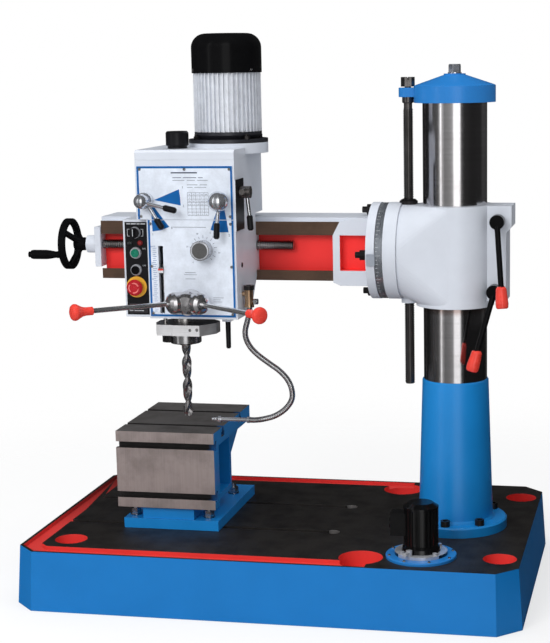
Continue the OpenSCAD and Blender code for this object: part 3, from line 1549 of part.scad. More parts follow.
module coolant_tap_handle() {
  z = tap_bot + 14;
  color(chrome) {
    rod_x(4, tap_x + 5, tap_x + 20, tap_y, z);
    block(tap_x + 15, tap_x + 21, tap_y - 16, tap_y + 9, z - 5, z + 5);
    rod_x(7, tap_x + 12, tap_x + 22, tap_y, z);
  }
}

// Centre line of the hose in the XZ plane
hose_line = [
  [-52, 745], [-52, 730], [-58, 706], [-64, 682], [-62, 661], [-51, 640], [-32, 621], [-6, 602],
  [21, 583], [41, 561], [51, 536], [50, 511], [33, 487], [6, 469], [-24, 460], [-44, 457],
  [-58, 457]
];

function line_point(t) =
  let (n = len(hose_line) - 1)
  let (i = min(n - 1, floor(t * n)))
  let (f = t * n - i)
  let (p0 = hose_line[max(0, i - 1)], p1 = hose_line[i])
  let (p2 = hose_line[i + 1], p3 = hose_line[min(n, i + 2)])
  0.5 * (2 * p1 + (p2 - p0) * f + (2 * p0 - 5 * p1 + 4 * p2 - p3) * f * f
    + (3 * p1 - p0 - 3 * p2 + p3) * f * f * f);

// Unit direction of the hose at t; the two ends run straight
function line_dir(t) =
  t < 0.02 ? [0, -1] : t > 0.98 ? [-1, 0] :
  let (d = line_point(t + 0.004) - line_point(t - 0.004)) d / norm(d);

function hose_ring(t, r) =
  let (p = line_point(t), d = line_dir(t))
  [for (k = [0:7]) [
    p[0] - d[1] * r * cos(k * 45), tap_y + r * sin(k * 45), p[1] + d[0] * r * cos(k * 45)
  ]];

// Tube of 8-sided rings: the ribbed outside, the bore, and a flat ring at each end
module coolant_hose() {
  ribs = 2 * hose_ribs;
  inner = 60;
  outside = [for (i = [0:ribs]) hose_ring(i / ribs,
    i < 3 || i > ribs - 3 ? hose_r : hose_r - (i % 2) * hose_rib)];
  bore = [for (i = [0:inner]) hose_ring(i / inner, hose_bore)];
  b = 8 * (ribs + 1);
  end = hose_line[len(hose_line) - 1];
  color(black) polyhedron(
    points = [for (ring = concat(outside, bore)) each ring],
    faces = [for (j = [0:7]) let (k = (j + 1) % 8) each concat(
      [[k, j, b + j, b + k]],
      [for (i = [0:ribs - 1]) [i * 8 + k, i * 8 + 8 + k, i * 8 + 8 + j, i * 8 + j]],
      [for (i = [0:inner - 1]) [b + i * 8 + j, b + i * 8 + 8 + j, b + i * 8 + 8 + k,
        b + i * 8 + k]],
      [[ribs * 8 + j, ribs * 8 + k, b + inner * 8 + k, b + inner * 8 + j]]
    )],
    convexity = 10
  );
  echo(hose_gap = min([for (i = [0:80], k = [i + 16:80])
    norm(line_point(i / 80) - line_point(k / 80)) - 2 * hose_r]));
  color(chrome) translate([end[0], tap_y, end[1]]) rotate([0, -90, 0])
    rotate_extrude($fn = fine) polygon([
      [2.2, -6], [hose_bore * 0.9, -6], [hose_bore * 0.9, 0], [8, 0], [8, 7], [5.2, 9],
      [5.2, 72], [8.5, 73], [8.5, 80], [5, 84], [4, 98], [2.2, 98]
    ]);
}

base_casting();
pedestal();
hold_down_bolts();
column();
cap_nut();
thrust_bearing();
pump_plate();
pump_motor();
box_table();
top_cap();
elevating_screw();
arm_sleeve();
angle_ring();
clamp_studs();
elevating_nut();
upper_clamp_lever();
lower_clamp_lever();
arm_casting();
arm_flange_bolts();
tilt_pointer();
end_bracket();
traverse_screw();
handwheel();
handwheel_grip();
head_casting();
head_cover();
upper_plate();
lower_plate();
head_screws();
breather_cap();
motor_housing();
motor_flange();
fan_cover();
rotor();
cooling_fan();
idler_gear();
spindle_gear();
traverse_nut();
control_box();
control_panel();
selector_switch();
start_button();
stop_button();
emergency_stop();
quill();
quill_ring_nut();
depth_clamp();
spindle();
twist_drill();
capstan_hub();
capstan_knobs();
high_gear_lever();
low_gear_lever();
feed_lever();
side_lever();
feed_dial();
quill_lock_lever();
coolant_tap();
coolant_tap_handle();
coolant_hose();
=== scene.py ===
import bpy
import bmesh
import json
import math
from mathutils import Vector, Matrix

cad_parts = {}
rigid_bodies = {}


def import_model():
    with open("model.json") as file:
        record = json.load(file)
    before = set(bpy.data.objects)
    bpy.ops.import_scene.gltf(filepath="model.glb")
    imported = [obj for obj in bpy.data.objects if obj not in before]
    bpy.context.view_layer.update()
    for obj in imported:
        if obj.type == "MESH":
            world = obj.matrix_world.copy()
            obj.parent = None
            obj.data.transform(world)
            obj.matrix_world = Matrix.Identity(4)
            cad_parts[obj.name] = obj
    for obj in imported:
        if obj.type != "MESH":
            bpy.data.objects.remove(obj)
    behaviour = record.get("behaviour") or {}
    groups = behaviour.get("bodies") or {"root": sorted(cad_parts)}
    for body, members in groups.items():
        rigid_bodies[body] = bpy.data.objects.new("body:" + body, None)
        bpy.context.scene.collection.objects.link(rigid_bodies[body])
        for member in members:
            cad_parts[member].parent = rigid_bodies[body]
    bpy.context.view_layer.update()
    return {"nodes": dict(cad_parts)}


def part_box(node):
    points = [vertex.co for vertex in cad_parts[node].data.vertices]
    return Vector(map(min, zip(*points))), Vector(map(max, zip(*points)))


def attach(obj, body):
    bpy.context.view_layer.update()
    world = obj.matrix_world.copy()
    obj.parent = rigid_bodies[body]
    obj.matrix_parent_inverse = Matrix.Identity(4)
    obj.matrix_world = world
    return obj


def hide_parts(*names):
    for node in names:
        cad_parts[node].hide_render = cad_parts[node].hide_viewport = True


for left_over in list(bpy.data.objects):
    bpy.data.objects.remove(left_over)
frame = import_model()
cad = frame["nodes"]
scene = bpy.context.scene
scene.view_settings.view_transform = "Standard"


# Camera
# The photo is taken from the front right, a little above the arm, with the column to the right
# of the picture's middle.
picture_wide, picture_high = 550, 643
lens_in_pixels = 1592.758
lens_middle_x, lens_middle_y = 345, 345
film = 36
yaw, pitch, roll = -0.203, 0.175, -0.015
ahead = Vector((math.sin(yaw) * math.cos(pitch), math.cos(yaw) * math.cos(pitch), -math.sin(pitch)))
level = Vector((math.cos(yaw), -math.sin(yaw), 0))
above = level.cross(ahead)
right = math.cos(roll) * level + math.sin(roll) * above
up = -math.sin(roll) * level + math.cos(roll) * above
camera = bpy.data.objects.new("camera", bpy.data.cameras.new("camera"))
scene.collection.objects.link(camera)
camera.matrix_world = Matrix((right, up, -ahead)).transposed().to_4x4()
camera.location = (0.957426, -3.951114, 1.327352)
camera.data.lens = lens_in_pixels * film / picture_high
camera.data.sensor_width = film
camera.data.shift_x = (picture_wide / 2 - lens_middle_x) / picture_high
camera.data.shift_y = (lens_middle_y - picture_high / 2) / picture_high
camera.data.clip_end = 40
scene.camera = camera


# Studio
# A white room. Mirrors see the room's soft boxes as upright bright bands on dark walls, as the
# column does in the photo; the floor is white paper that fades out into the room.
def node(tree, kind, settings=None, **values):
    """A shader node. A value is a number or another node's socket; _0 is the first input."""
    made = tree.nodes.new("ShaderNode" + kind)
    for key, value in (settings or {}).items():
        setattr(made, key, value)
    for key, value in values.items():
        socket = made.inputs[int(key[1:])] if key[0] == "_" else made.inputs[key.replace("_", " ")]
        if isinstance(value, bpy.types.NodeSocket):
            tree.links.new(value, socket)
        else:
            socket.default_value = value
    return made


def worked(tree, operation, a, b):
    """The result of a sum with two values."""
    return node(tree, "Math", {"operation": operation}, _0=a, _1=b).outputs[0]


def spread(tree, value, low=0.0, high=1.0, least=0.0, most=1.0):
    """A value that runs from low to high, brought to run from least to most."""
    made = node(tree, "MapRange", Value=value, From_Min=low, From_Max=high, To_Min=least, To_Max=most)
    return made.outputs[0]


def ramp(tree, fac, stops):
    """A ramp of greys with these (place, grey) stops."""
    made = node(tree, "ValToRGB", Fac=fac)
    band = made.color_ramp
    while len(band.elements) < len(stops):
        band.elements.new(0.5)
    for element, (place, grey) in zip(band.elements, stops):
        element.position = place
        element.color = (grey, grey, grey, 1)
    return made.outputs["Color"]


world = bpy.data.worlds.new("studio")
scene.world = world
world.use_nodes = True
air = world.node_tree
air.nodes.clear()
look = node(air, "SeparateXYZ", Vector=node(air, "TexCoord").outputs["Generated"]).outputs
turned = worked(air, "ARCTAN2", look["X"], worked(air, "MULTIPLY", look["Y"], -1.0))
# How bright the walls are, at these degrees round from the front towards the right.
walls = [(-180, 0.02), (-100, 0.015), (-92, 0.05), (-70, 0.09), (-54, 0.12), (-50, 0.55), (-46, 0.7),
         (-45, 2.6), (-43, 2.6), (-42, 0.7), (-36, 0.5), (-31, 0.25), (-12, 0.34), (0, 0.5), (4, 1.9),
         (24, 1.9), (29, 0.12), (40, 0.03), (70, 0.015), (112, 0.02), (125, 0.06), (180, 0.03)]
bands = ramp(air, spread(air, turned, -math.pi, math.pi), [((a + 180) / 360, grey) for a, grey in walls])
# What height takes off or adds, from straight down to straight up.
height = ramp(air, spread(air, look["Z"], -1.0, 1.0), [
    (0.0, 0.06), (0.30, 0.22), (0.40, 0.60), (0.475, 1.0), (0.62, 1.0), (0.74, 1.2), (0.80, 0.45),
    (0.90, 0.12), (1.0, 0.06)])
mirror_view = node(air, "Mix", {"data_type": "RGBA", "blend_type": "MULTIPLY"}, _0=1.0, _6=bands, _7=height)
path = node(air, "LightPath").outputs
soft = node(air, "Background", Color=(0.97, 0.98, 1.0, 1), Strength=0.62)
sharp = node(air, "Background", Color=mirror_view.outputs[2], Strength=1.0)
white_room = node(air, "Background", Color=(1, 1, 1, 1), Strength=1.0)
unseen = node(air, "MixShader", _0=path["Is Glossy Ray"], _1=soft.outputs[0], _2=sharp.outputs[0])
seen = worked(air, "MAXIMUM", path["Is Camera Ray"], path["Is Transmission Ray"])
room = node(air, "MixShader", _0=seen, _1=unseen.outputs[0], _2=white_room.outputs[0])
node(air, "OutputWorld", Surface=room.outputs[0])


def lamp(name, place, aim, size, watts):
    """A soft box at a place, aimed at a point, that mirrors don't see."""
    light = bpy.data.lights.new(name, "AREA")
    light.shape = "RECTANGLE"
    light.size, light.size_y = size
    light.energy = watts
    stand = bpy.data.objects.new(name, light)
    scene.collection.objects.link(stand)
    stand.location = place
    stand.rotation_euler = (Vector(aim) - Vector(place)).to_track_quat("-Z", "Y").to_euler()
    stand.visible_glossy = False


lamp("key_box", (-1.3, -4.5, 2.9), (0, 0, 0.6), (2.4, 2.0), 120)
lamp("top_box", (0.2, -0.6, 4.4), (0.1, 0, 0.4), (3.0, 2.0), 60)


def backdrop(name, corners):
    """A flat sheet of the studio, from its four corners in metres."""
    mesh = bpy.data.meshes.new(name)
    mesh.from_pydata(corners, [], [(0, 1, 2, 3)])
    made = bpy.data.objects.new(name, mesh)
    scene.collection.objects.link(made)
    return made


def blank(name):
    """A new material, its node tree and its main shader."""
    made = bpy.data.materials.new(name)
    made.use_nodes = True
    return made, made.node_tree, made.node_tree.nodes["Principled BSDF"]


reach = 4
floor = backdrop("floor", [(-reach, -reach, 0), (reach, -reach, 0), (reach, reach, 0), (-reach, reach, 0)])
floor.location.z = -0.0005
paper, tree, shader = blank("studio paper")
floor.data.materials.append(paper)
at = node(tree, "TexCoord").outputs["Object"]
away = node(tree, "VectorMath", {"operation": "LENGTH"}, _0=at).outputs["Value"]
fade = node(tree, "MapRange", {"interpolation_type": "SMOOTHSTEP"}, Value=away, From_Min=0.9, From_Max=2.4)
shader.inputs["Base Color"].default_value = (0.97, 0.97, 0.97, 1)
shader.inputs["Roughness"].default_value = 0.9
shader.inputs["Specular IOR Level"].default_value = 0.1
grain = node(tree, "TexNoise", Vector=at, Scale=160.0)
bumps = node(tree, "Bump", Strength=0.05, Distance=0.0005, Height=grain.outputs[0])
tree.links.new(bumps.outputs[0], shader.inputs["Normal"])
clear = node(tree, "BsdfTransparent")
glow = node(tree, "Emission", Color=(1, 1, 1, 1), Strength=1.0)
path = node(tree, "LightPath").outputs
lift = worked(tree, "MULTIPLY", path["Is Camera Ray"], 0.64)
lit = node(tree, "MixShader", _0=lift, _1=shader.outputs[0], _2=glow.outputs[0])
gone = worked(tree, "MAXIMUM", fade.outputs[0], path["Is Glossy Ray"])
both = node(tree, "MixShader", _0=gone, _1=lit.outputs[0], _2=clear.outputs[0])
tree.links.new(both.outputs[0], tree.nodes["Material Output"].inputs["Surface"])

# An unseen black card stands right of the machine, and darkens what its right sides mirror.
card_x, card_y, card_z = 0.95, 0.7, 0.6
card = backdrop("dark_card", [(card_x, -card_y, 0), (card_x, card_y, 0), (card_x, card_y, card_z),
                              (card_x, -card_y, card_z)])
card.visible_camera = False
card.visible_shadow = False
felt, tree, shader = blank("black felt")
card.data.materials.append(felt)
shader.inputs["Roughness"].default_value = 1.0
shader.inputs["Specular IOR Level"].default_value = 0.0
pile = ramp(tree, node(tree, "TexNoise", Scale=300.0).outputs[0], [(0.0, 0.004), (1.0, 0.012)])
tree.links.new(pile, shader.inputs["Base Color"])


# Base casting
# A hollow grey iron slab, planed on top, with two tee slots, a red painted coolant gutter and
# the pockets of its four anchor bolts. Its sides are sprayed blue; painted shade darkens the
# gutter's back left end.
def screen(r, g, b):
    """A colour read off the screen, 0 to 255, as Blender's scene colour."""
    return tuple(c / 3294.6 if c < 10.31 else ((c / 255 + 0.055) / 1.055) ** 2.4 for c in (r, g, b)) + (1,)


def group(name, inputs):
    """A node group with named inputs (name, value) that gives a colour, a roughness and a normal."""
    made = bpy.data.node_groups.new(name, "ShaderNodeTree")
    for label, value in inputs:
        kind = {tuple: "NodeSocketColor", list: "NodeSocketVector"}.get(type(value), "NodeSocketFloat")
        made.interface.new_socket(label, in_out="INPUT", socket_type=kind).default_value = value
    for label, kind in (("Colour", "Color"), ("Roughness", "Float"), ("Normal", "Vector")):
        made.interface.new_socket(label, in_out="OUTPUT", socket_type="NodeSocket" + kind)
    return made, made.nodes.new("NodeGroupInput").outputs


def put_out(tree, *sockets):
    """Ends a group: its colour, its roughness and its normal go out."""
    ends = tree.nodes.new("NodeGroupOutput").inputs
    for end, socket in zip(ends, sockets):
        tree.links.new(socket, end)


def noise(tree, at, scale, detail=2.0, roughness=0.5):
    return node(tree, "TexNoise", Vector=at, Scale=scale, Detail=detail, Roughness=roughness).outputs[0]


def mix(tree, share, one, two):
    """Two colours mixed: none of the second at 0, only the second at 1."""
    return node(tree, "Mix", {"data_type": "RGBA"}, _0=share, _6=one, _7=two).outputs[2]


def soft_edge(tree, radius):
    """The normal of an edge broken to a small radius, and how near an edge the point is."""
    rounded = node(tree, "Bevel", {"samples": 4}, Radius=radius).outputs["Normal"]
    flat = node(tree, "NewGeometry").outputs["Normal"]
    along_flat = node(tree, "VectorMath", {"operation": "DOT_PRODUCT"}, _0=rounded, _1=flat).outputs["Value"]
    return rounded, spread(tree, along_flat, 0.995, 0.80)


# Sprayed paint: orange peel, a gloss that varies in clouds, and edges rubbed through to the iron.
sprayed, into = group("sprayed casting", [
    ("Paint", (0.5, 0.5, 0.5, 1)), ("Chip", (0.1, 0.1, 0.1, 1)), ("Peel", 0.25), ("Wear", 0.35),
    ("Gloss", 0.3)])
at = node(sprayed, "TexCoord").outputs["Object"]
cloud = noise(sprayed, at, 5.5, 5.0, 0.6)
sand = noise(sprayed, at, 95.0, 4.0, 0.65)
peel = noise(sprayed, at, 430.0)
rounded, near = soft_edge(sprayed, 0.0016)
bright = spread(sprayed, cloud, 0.3, 0.7, 0.93, 1.05)
toned = node(sprayed, "HueSaturation", Value=bright, Color=into["Paint"])
rubbed = worked(sprayed, "MULTIPLY", near, spread(sprayed, sand, 0.55, 0.68))
chipped = mix(sprayed, worked(sprayed, "MULTIPLY", rubbed, into["Wear"]), toned.outputs[0], into["Chip"])
rough = worked(sprayed, "ADD", into["Gloss"], spread(sprayed, cloud, least=-0.05, most=0.07))
lumps = worked(sprayed, "ADD", peel, worked(sprayed, "MULTIPLY", sand, 0.12))
bumps = node(sprayed, "Bump", Strength=into["Peel"], Distance=0.0005, Height=lumps, Normal=rounded)
put_out(sprayed, chipped, rough, bumps.outputs[0])

# Turned or ground metal: fine lines along the lay of the cut, dark stains, and edges lightened as a painted
# highlight.
machined, into = group("turned or ground metal", [
    ("Metal", (0.5, 0.5, 0.5, 1)), ("Stain", (0.2, 0.2, 0.2, 1)), ("Lay", [8.0, 8.0, 900.0]),
    ("Cut", 0.25), ("Stained", 0.4), ("Polish", 0.25)])
at = node(machined, "TexCoord").outputs["Object"]
drawn = node(machined, "VectorMath", {"operation": "MULTIPLY"}, _0=at, _1=into["Lay"]).outputs["Vector"]
line = noise(machined, drawn, 1.0, 3.0, 0.7)
cloud = noise(machined, at, 14.0, 6.0, 0.62)
speck = noise(machined, at, 260.0)
rounded, near = soft_edge(machined, 0.0009)
stained = worked(machined, "MULTIPLY", spread(machined, cloud, 0.42, 0.72), into["Stained"])
mixed = mix(machined, stained, into["Metal"], into["Stain"])
# The tone follows the lines of the cut, and edges are lightened: a painted highlight.
bright = worked(machined, "ADD", spread(machined, line, 0.3, 0.7, 0.90, 1.08),
                worked(machined, "MULTIPLY", near, 0.22))
toned = node(machined, "HueSaturation", Value=bright, Color=mixed)
rough = worked(machined, "ADD", spread(machined, line, least=-0.07, most=0.12),
               worked(machined, "MULTIPLY", stained, 0.15))
rough = worked(machined, "ADD", rough, into["Polish"])
lumps = worked(machined, "ADD", line, worked(machined, "MULTIPLY", speck, 0.35))
bumps = node(machined, "Bump", Strength=into["Cut"], Distance=0.00012, Height=lumps, Normal=rounded)
put_out(machined, toned.outputs[0], rough, bumps.outputs[0])


def finish(name, skin, metal=0.0, specular=0.5, **settings):
    """A material made with one of the groups. Its colours are given as they are on the screen."""
    made, tree, shader = blank(name)
    shader.inputs["Metallic"].default_value = metal
    shader.inputs["Specular IOR Level"].default_value = specular
    used = tree.nodes.new("ShaderNodeGroup")
    used.node_tree = skin
    for key, value in settings.items():
        used.inputs[key].default_value = screen(*value) if isinstance(value, tuple) else value
    for given, entry in (("Colour", "Base Color"), ("Roughness", "Roughness"), ("Normal", "Normal")):
        tree.links.new(used.outputs[given], shader.inputs[entry])
    return made


def feed(material, entry, colour):
    """Gives a finish's group a colour that changes over the piece."""
    tree = material.node_tree
    used = next(n for n in tree.nodes if n.bl_idname == "ShaderNodeGroup")
    tree.links.new(colour, used.inputs[entry])


def dress(name, *materials, choose=None):
    """Gives a CAD node its material, or several, chosen face by face from its middle in mm."""
    mesh = cad[name].data
    mesh.materials.clear()
    for material in materials:
        mesh.materials.append(material)
    if choose:
        for face in mesh.polygons:
            face.material_index = choose(face.center * 1000, face.normal)


rim_x, rim_y, rim_corner, rim_low = 625.3, 395.3, 970.6, 100
planed_z = 149.9
slot_y, slot_end_x, milled_x = (98, 138), (-612, 149), 118


def base_face(p, n):
    """0 the blue sides, 1 the planed top and slots, 2 the gutter, 3 the slots' milled ends."""
    if abs(p.x) > rim_x or abs(p.y) > rim_y or abs(p.x) + abs(p.y) > rim_corner or p.z < rim_low:
        return 0
    if p.z > planed_z:
        return 1
    if slot_end_x[0] < p.x < slot_end_x[1] and slot_y[0] < abs(p.y) < slot_y[1]:
        return 3 if p.x > milled_x else 1
    return 2


# The gutter's red is a darker copy of the web's red enamel: painted shade.
shaded_gutter_red = (224, 64, 60)
# The base's blue is a darker copy of the pedestal's blue enamel: painted shade.
shaded_base_blue = finish("base enamel", sprayed, Paint=(12, 112, 182), Chip=(20, 50, 84), Peel=0.16, Gloss=0.36,
                   specular=0.3)
base_top = finish("planed base top", machined, 0.35, Metal=(52, 49, 47), Stain=(22, 20, 20),
                  Lay=[900.0, 9.0, 9.0], Cut=0.5, Stained=0.7, Polish=0.46)
base_red = finish("gutter enamel", sprayed, Paint=shaded_gutter_red, Chip=(120, 30, 28), Peel=0.35, Gloss=0.34,
                  specular=0.3)
slot_end = finish("milled slot end", machined, 0.6, Metal=(150, 146, 144), Stain=(90, 86, 84),
                  Lay=[60.0, 60.0, 400.0], Cut=0.4, Stained=0.5, Polish=0.36)
gutter = base_red.node_tree
# The gutter's red darkens towards the back and the left end: painted shade.
where = node(gutter, "SeparateXYZ", Vector=node(gutter, "TexCoord").outputs["Object"]).outputs
far = spread(gutter, where["Y"], -0.15, 0.34)
left = spread(gutter, where["X"], -0.42, -0.50)
gutter_back_shade = worked(gutter, "MULTIPLY", worked(gutter, "MULTIPLY", far, left), 0.9)
feed(base_red, "Paint", mix(gutter, gutter_back_shade, screen(*shaded_gutter_red), screen(84, 26, 24)))
dress("base_casting", shaded_base_blue, base_top, base_red, slot_end, choose=base_face)


# Pedestal, column and hold-down bolts
# The pedestal is a blue casting; the column is ground steel, with a faint rust line where the
# sleeve's lower edge usually stands; socket heads are blackened, the table's nuts are bright.
blue = finish("blue enamel", sprayed, Paint=(36, 122, 196), Chip=(24, 60, 100), Peel=0.22, Gloss=0.28)
pillar_blue = finish("pedestal enamel", sprayed, Paint=(26, 134, 208), Chip=(24, 60, 100), Peel=0.22,
                     Gloss=0.30)
column_steel = (214, 212, 214)
mirror_steel = finish("ground column", machined, 1.0, Metal=column_steel, Stain=(150, 138, 132),
                      Lay=[5.0, 5.0, 700.0], Cut=0.10, Stained=0.25, Polish=0.10)
ball_chrome = finish("chromed balls", machined, 0.86, Metal=(222, 225, 231), Stain=(170, 170, 172),
                     Lay=[60.0, 60.0, 60.0], Cut=0.03, Stained=0.2, Polish=0.07)
bright_steel = finish("turned steel", machined, 1.0, Metal=(196, 194, 192), Stain=(120, 112, 106),
                      Lay=[30.0, 30.0, 900.0], Cut=0.35, Stained=0.35, Polish=0.22)
black_steel = finish("blackened steel", machined, 0.55, Metal=(44, 42, 42), Stain=(20, 18, 18),
                     Lay=[40.0, 40.0, 700.0], Cut=0.4, Stained=0.5, Polish=0.30)
rust_low, rust_high, clean_above = 0.70, 0.735, 0.745
rusted = mirror_steel.node_tree
at = node(rusted, "TexCoord").outputs["Object"]
ragged = worked(rusted, "MULTIPLY", noise(rusted, at, 60.0, 4.0), 0.006)
height_up = worked(rusted, "ADD", node(rusted, "SeparateXYZ", Vector=at).outputs["Z"], ragged)
rust = ramp(rusted, spread(rusted, height_up, rust_low, rust_high),
            [(0.0, 0.0), (0.25, 0.05), (0.55, 0.55), (0.75, 0.6), (1.0, 0.1)])
rust = worked(rusted, "MULTIPLY", rust, worked(rusted, "GREATER_THAN", clean_above, height_up))
feed(mirror_steel, "Metal", mix(rusted, rust, screen(*column_steel), screen(128, 84, 62)))
table_bolts_x, table_bolts_z = 0, 178
dress("pedestal", pillar_blue)
dress("column", mirror_steel)
dress("top_cap", blue)
dress("cap_nut", ball_chrome)
dress("thrust_bearing", bright_steel)
dress("hold_down_bolts", black_steel, bright_steel,
      choose=lambda p, n: 1 if p.x < table_bolts_x and p.z > table_bolts_z else 0)


# Coolant pump
# A small black motor on a blue ring. The bright fittings at its foot are the outlet and the
# studs that hold it on the ring; the ring's own screws stand round it.
# Moulded plastic: a fine sparkle, smears of handling, and edges made paler as a painted highlight.
moulded, into = group("moulded plastic", [
    ("Plastic", (0.1, 0.1, 0.1, 1)), ("Grain", 0.2), ("Gloss", 0.3)])
at = node(moulded, "TexCoord").outputs["Object"]
spark = node(moulded, "TexVoronoi", Vector=at, Scale=900.0).outputs["Distance"]
smear = noise(moulded, at, 45.0, 5.0, 0.6)
rounded, near = soft_edge(moulded, 0.0008)
# Edges are made paler: a painted highlight.
bright = worked(moulded, "ADD", spread(moulded, smear, 0.3, 0.7, 0.90, 1.08),
                worked(moulded, "MULTIPLY", near, 0.25))
toned = node(moulded, "HueSaturation", Value=bright, Color=into["Plastic"])
rough = worked(moulded, "ADD", spread(moulded, smear, least=-0.08, most=0.14), into["Gloss"])
bumps = node(moulded, "Bump", Strength=into["Grain"], Distance=0.0001, Height=spark, Normal=rounded)
put_out(moulded, toned.outputs[0], rough, bumps.outputs[0])


def piece(name, body, material, shape, sharp=35):
    """A mesh piece from a shape drawn in mm. It rides on a CAD body."""
    mesh = bpy.data.meshes.new(name)
    bmesh.ops.scale(shape, vec=(0.001, 0.001, 0.001), verts=shape.verts)
    bmesh.ops.recalc_face_normals(shape, faces=shape.faces)
    shape.to_mesh(mesh)
    shape.free()
    mesh.materials.append(material)
    mesh.polygons.foreach_set("use_smooth", [True] * len(mesh.polygons))
    mesh.set_sharp_from_angle(angle=math.radians(sharp))
    made = bpy.data.objects.new(name, mesh)
    scene.collection.objects.link(made)
    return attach(made, body)


def revolve(shape, points, place, direction=(0, 0, 1), steps=48):
    """Points (radius, distance along) turned about a line that starts at place."""
    w = Vector(direction).normalized()
    u = w.orthogonal().normalized()
    v = w.cross(u)
    rings = []
    for r, h in points:
        turns = [math.tau * i / steps for i in range(steps)] if r > 1e-6 else [0]
        rings.append([shape.verts.new(Vector(place) + w * h + r * (u * math.cos(a) + v * math.sin(a)))
                      for a in turns])
    for one, two in zip(rings, rings[1:]):
        for i in range(steps):
            j = (i + 1) % steps
            corners = [one[i % len(one)], one[j % len(one)], two[j % len(two)], two[i % len(two)]]
            corners = list(dict.fromkeys(corners))
            if len(corners) > 2:
                shape.faces.new(corners)


pump_x, pump_y = 383, -284
outlet_r, outlet_y, outlet_z = 50, -325, (160, 190)
studs_r, studs_z = 49, (165, 176)


def pump_face(p, n):
    """1 for the fittings at the foot, 0 for the enamel above."""
    r = math.hypot(p.x - pump_x, p.y - pump_y)
    outlet = r > outlet_r and p.y < outlet_y and outlet_z[0] < p.z < outlet_z[1]
    studs = r > studs_r and studs_z[0] < p.z < studs_z[1]
    return 1 if outlet or studs else 0


pump_black = finish("pump enamel", moulded, specular=0.4, Plastic=(12, 12, 13), Grain=0.2, Gloss=0.16)
bezel = finish("plated bezel", machined, 0.45, Metal=(196, 198, 204), Stain=(140, 142, 148),
               Lay=[60.0, 60.0, 60.0], Cut=0.05, Stained=0.3, Polish=0.14)
dress("pump_plate", blue)
dress("pump_motor", pump_black, bezel, choose=pump_face)
ring_top, ring_screw_r, ring_screws = 158, 79, 8
shape = bmesh.new()
for i in range(ring_screws):
    w = math.radians(360 / ring_screws * (i + 0.5))
    revolve(shape, [(0, 3.4), (2.2, 3.2), (3.8, 1.6), (4.0, -0.4)],
            (pump_x + ring_screw_r * math.cos(w), pump_y + ring_screw_r * math.sin(w), ring_top), steps=16)
piece("pump_ring_screws", "frame", bright_steel, shape)


# Box table
# A hollow casting on a foot. Its front and top are milled, the rest is blue, and the paint
# comes round the right edge of the top, as the brush left it.
foot_z, table_z, front_y = 207, 367.9, -165.9
table_left, table_right, edge_x, edge_y = -425.8, -166.2, -425, -122
top_slots_z, top_slots_y = 379, -125
front_slots_y, upper_slot, lower_slot = -140, (332, 395), (211, 271)
facing = 0.9


def table_face(p, n):
    """0 the paint, 1 the milled front and edge, 2 the ground top, 3 the tee slots' walls, painted shade."""
    if p.z < foot_z:
        return 0
    if p.z > table_z and n.z > facing:
        return 2
    if n.y < -facing and p.y < front_y:
        return 1
    if table_left < p.x < table_right and abs(n.x) < facing:
        if p.z > top_slots_z and p.y > top_slots_y:
            return 3
        if p.y < front_slots_y and any(low < p.z < high for low, high in (upper_slot, lower_slot)):
            return 3
    return 1 if p.x < edge_x and p.y < edge_y else 0


# The tee slots' walls are near black: painted shade. Towards the right end they turn to the blue paint.
slot_shade_black = (44, 42, 42)
milled = finish("milled table face", machined, 0.4, Metal=(164, 152, 149), Stain=(112, 104, 100),
                Lay=[500.0, 8.0, 8.0], Cut=0.5, Stained=0.6, Polish=0.42)
table_top = finish("ground table top", machined, 0.35, Metal=(112, 109, 108), Stain=(74, 70, 68),
                   Lay=[8.0, 900.0, 8.0], Cut=0.5, Stained=0.6, Polish=0.44)
slot_wall_shade = finish("slot walls", machined, 0.3, Metal=slot_shade_black, Stain=(24, 22, 22),
                   Lay=[8.0, 500.0, 500.0], Cut=0.4, Stained=0.6, Polish=0.5)
walls_of = slot_wall_shade.node_tree
across = node(walls_of, "SeparateXYZ", Vector=node(walls_of, "TexCoord").outputs["Object"]).outputs["X"]
brushed = spread(walls_of, across, -0.186, -0.176)
feed(slot_wall_shade, "Metal", mix(walls_of, brushed, screen(*slot_shade_black), screen(30, 96, 160)))
dress("box_table", pillar_blue, milled, table_top, slot_wall_shade, choose=table_face)


# Elevating screw
# A black trapezoidal thread of 6 mm pitch hangs from the cap's ear: thread, bare neck, collar
# under the ear and a castle nut on top.
def thread(shape, place, direction, length, root, crest, pitch, steps=20):
    """The surface of a screw thread with a chamfer at each end."""
    w = Vector(direction).normalized()
    u = w.orthogonal().normalized()
    v = w.cross(u)
    form = [(0.0, root), (0.14, root), (0.36, crest), (0.64, crest), (0.86, root)]
    chamfer = 2.5
    rows = []
    for k in range(int((length / pitch + 1) * steps) + 1):
        a = math.tau * k / steps
        row = []
        for f, r in form:
            h = min(max((k / steps + f - 1) * pitch, 0.0), length)
            r = min(r, root - 0.6 + h, root - 0.6 + length - h) if min(h, length - h) < chamfer else r
            row.append(shape.verts.new(Vector(place) + w * h + r * (u * math.cos(a) + v * math.sin(a))))
        rows.append(row)
    for k in range(len(rows) - 1):
        one, two = rows[k], rows[k + 1]
        for i in range(4):
            shape.faces.new((one[i], two[i], two[i + 1], one[i + 1]))
        if k + steps < len(rows) - 1:
            shape.faces.new((one[4], two[4], rows[k + 1 + steps][0], rows[k + steps][0]))


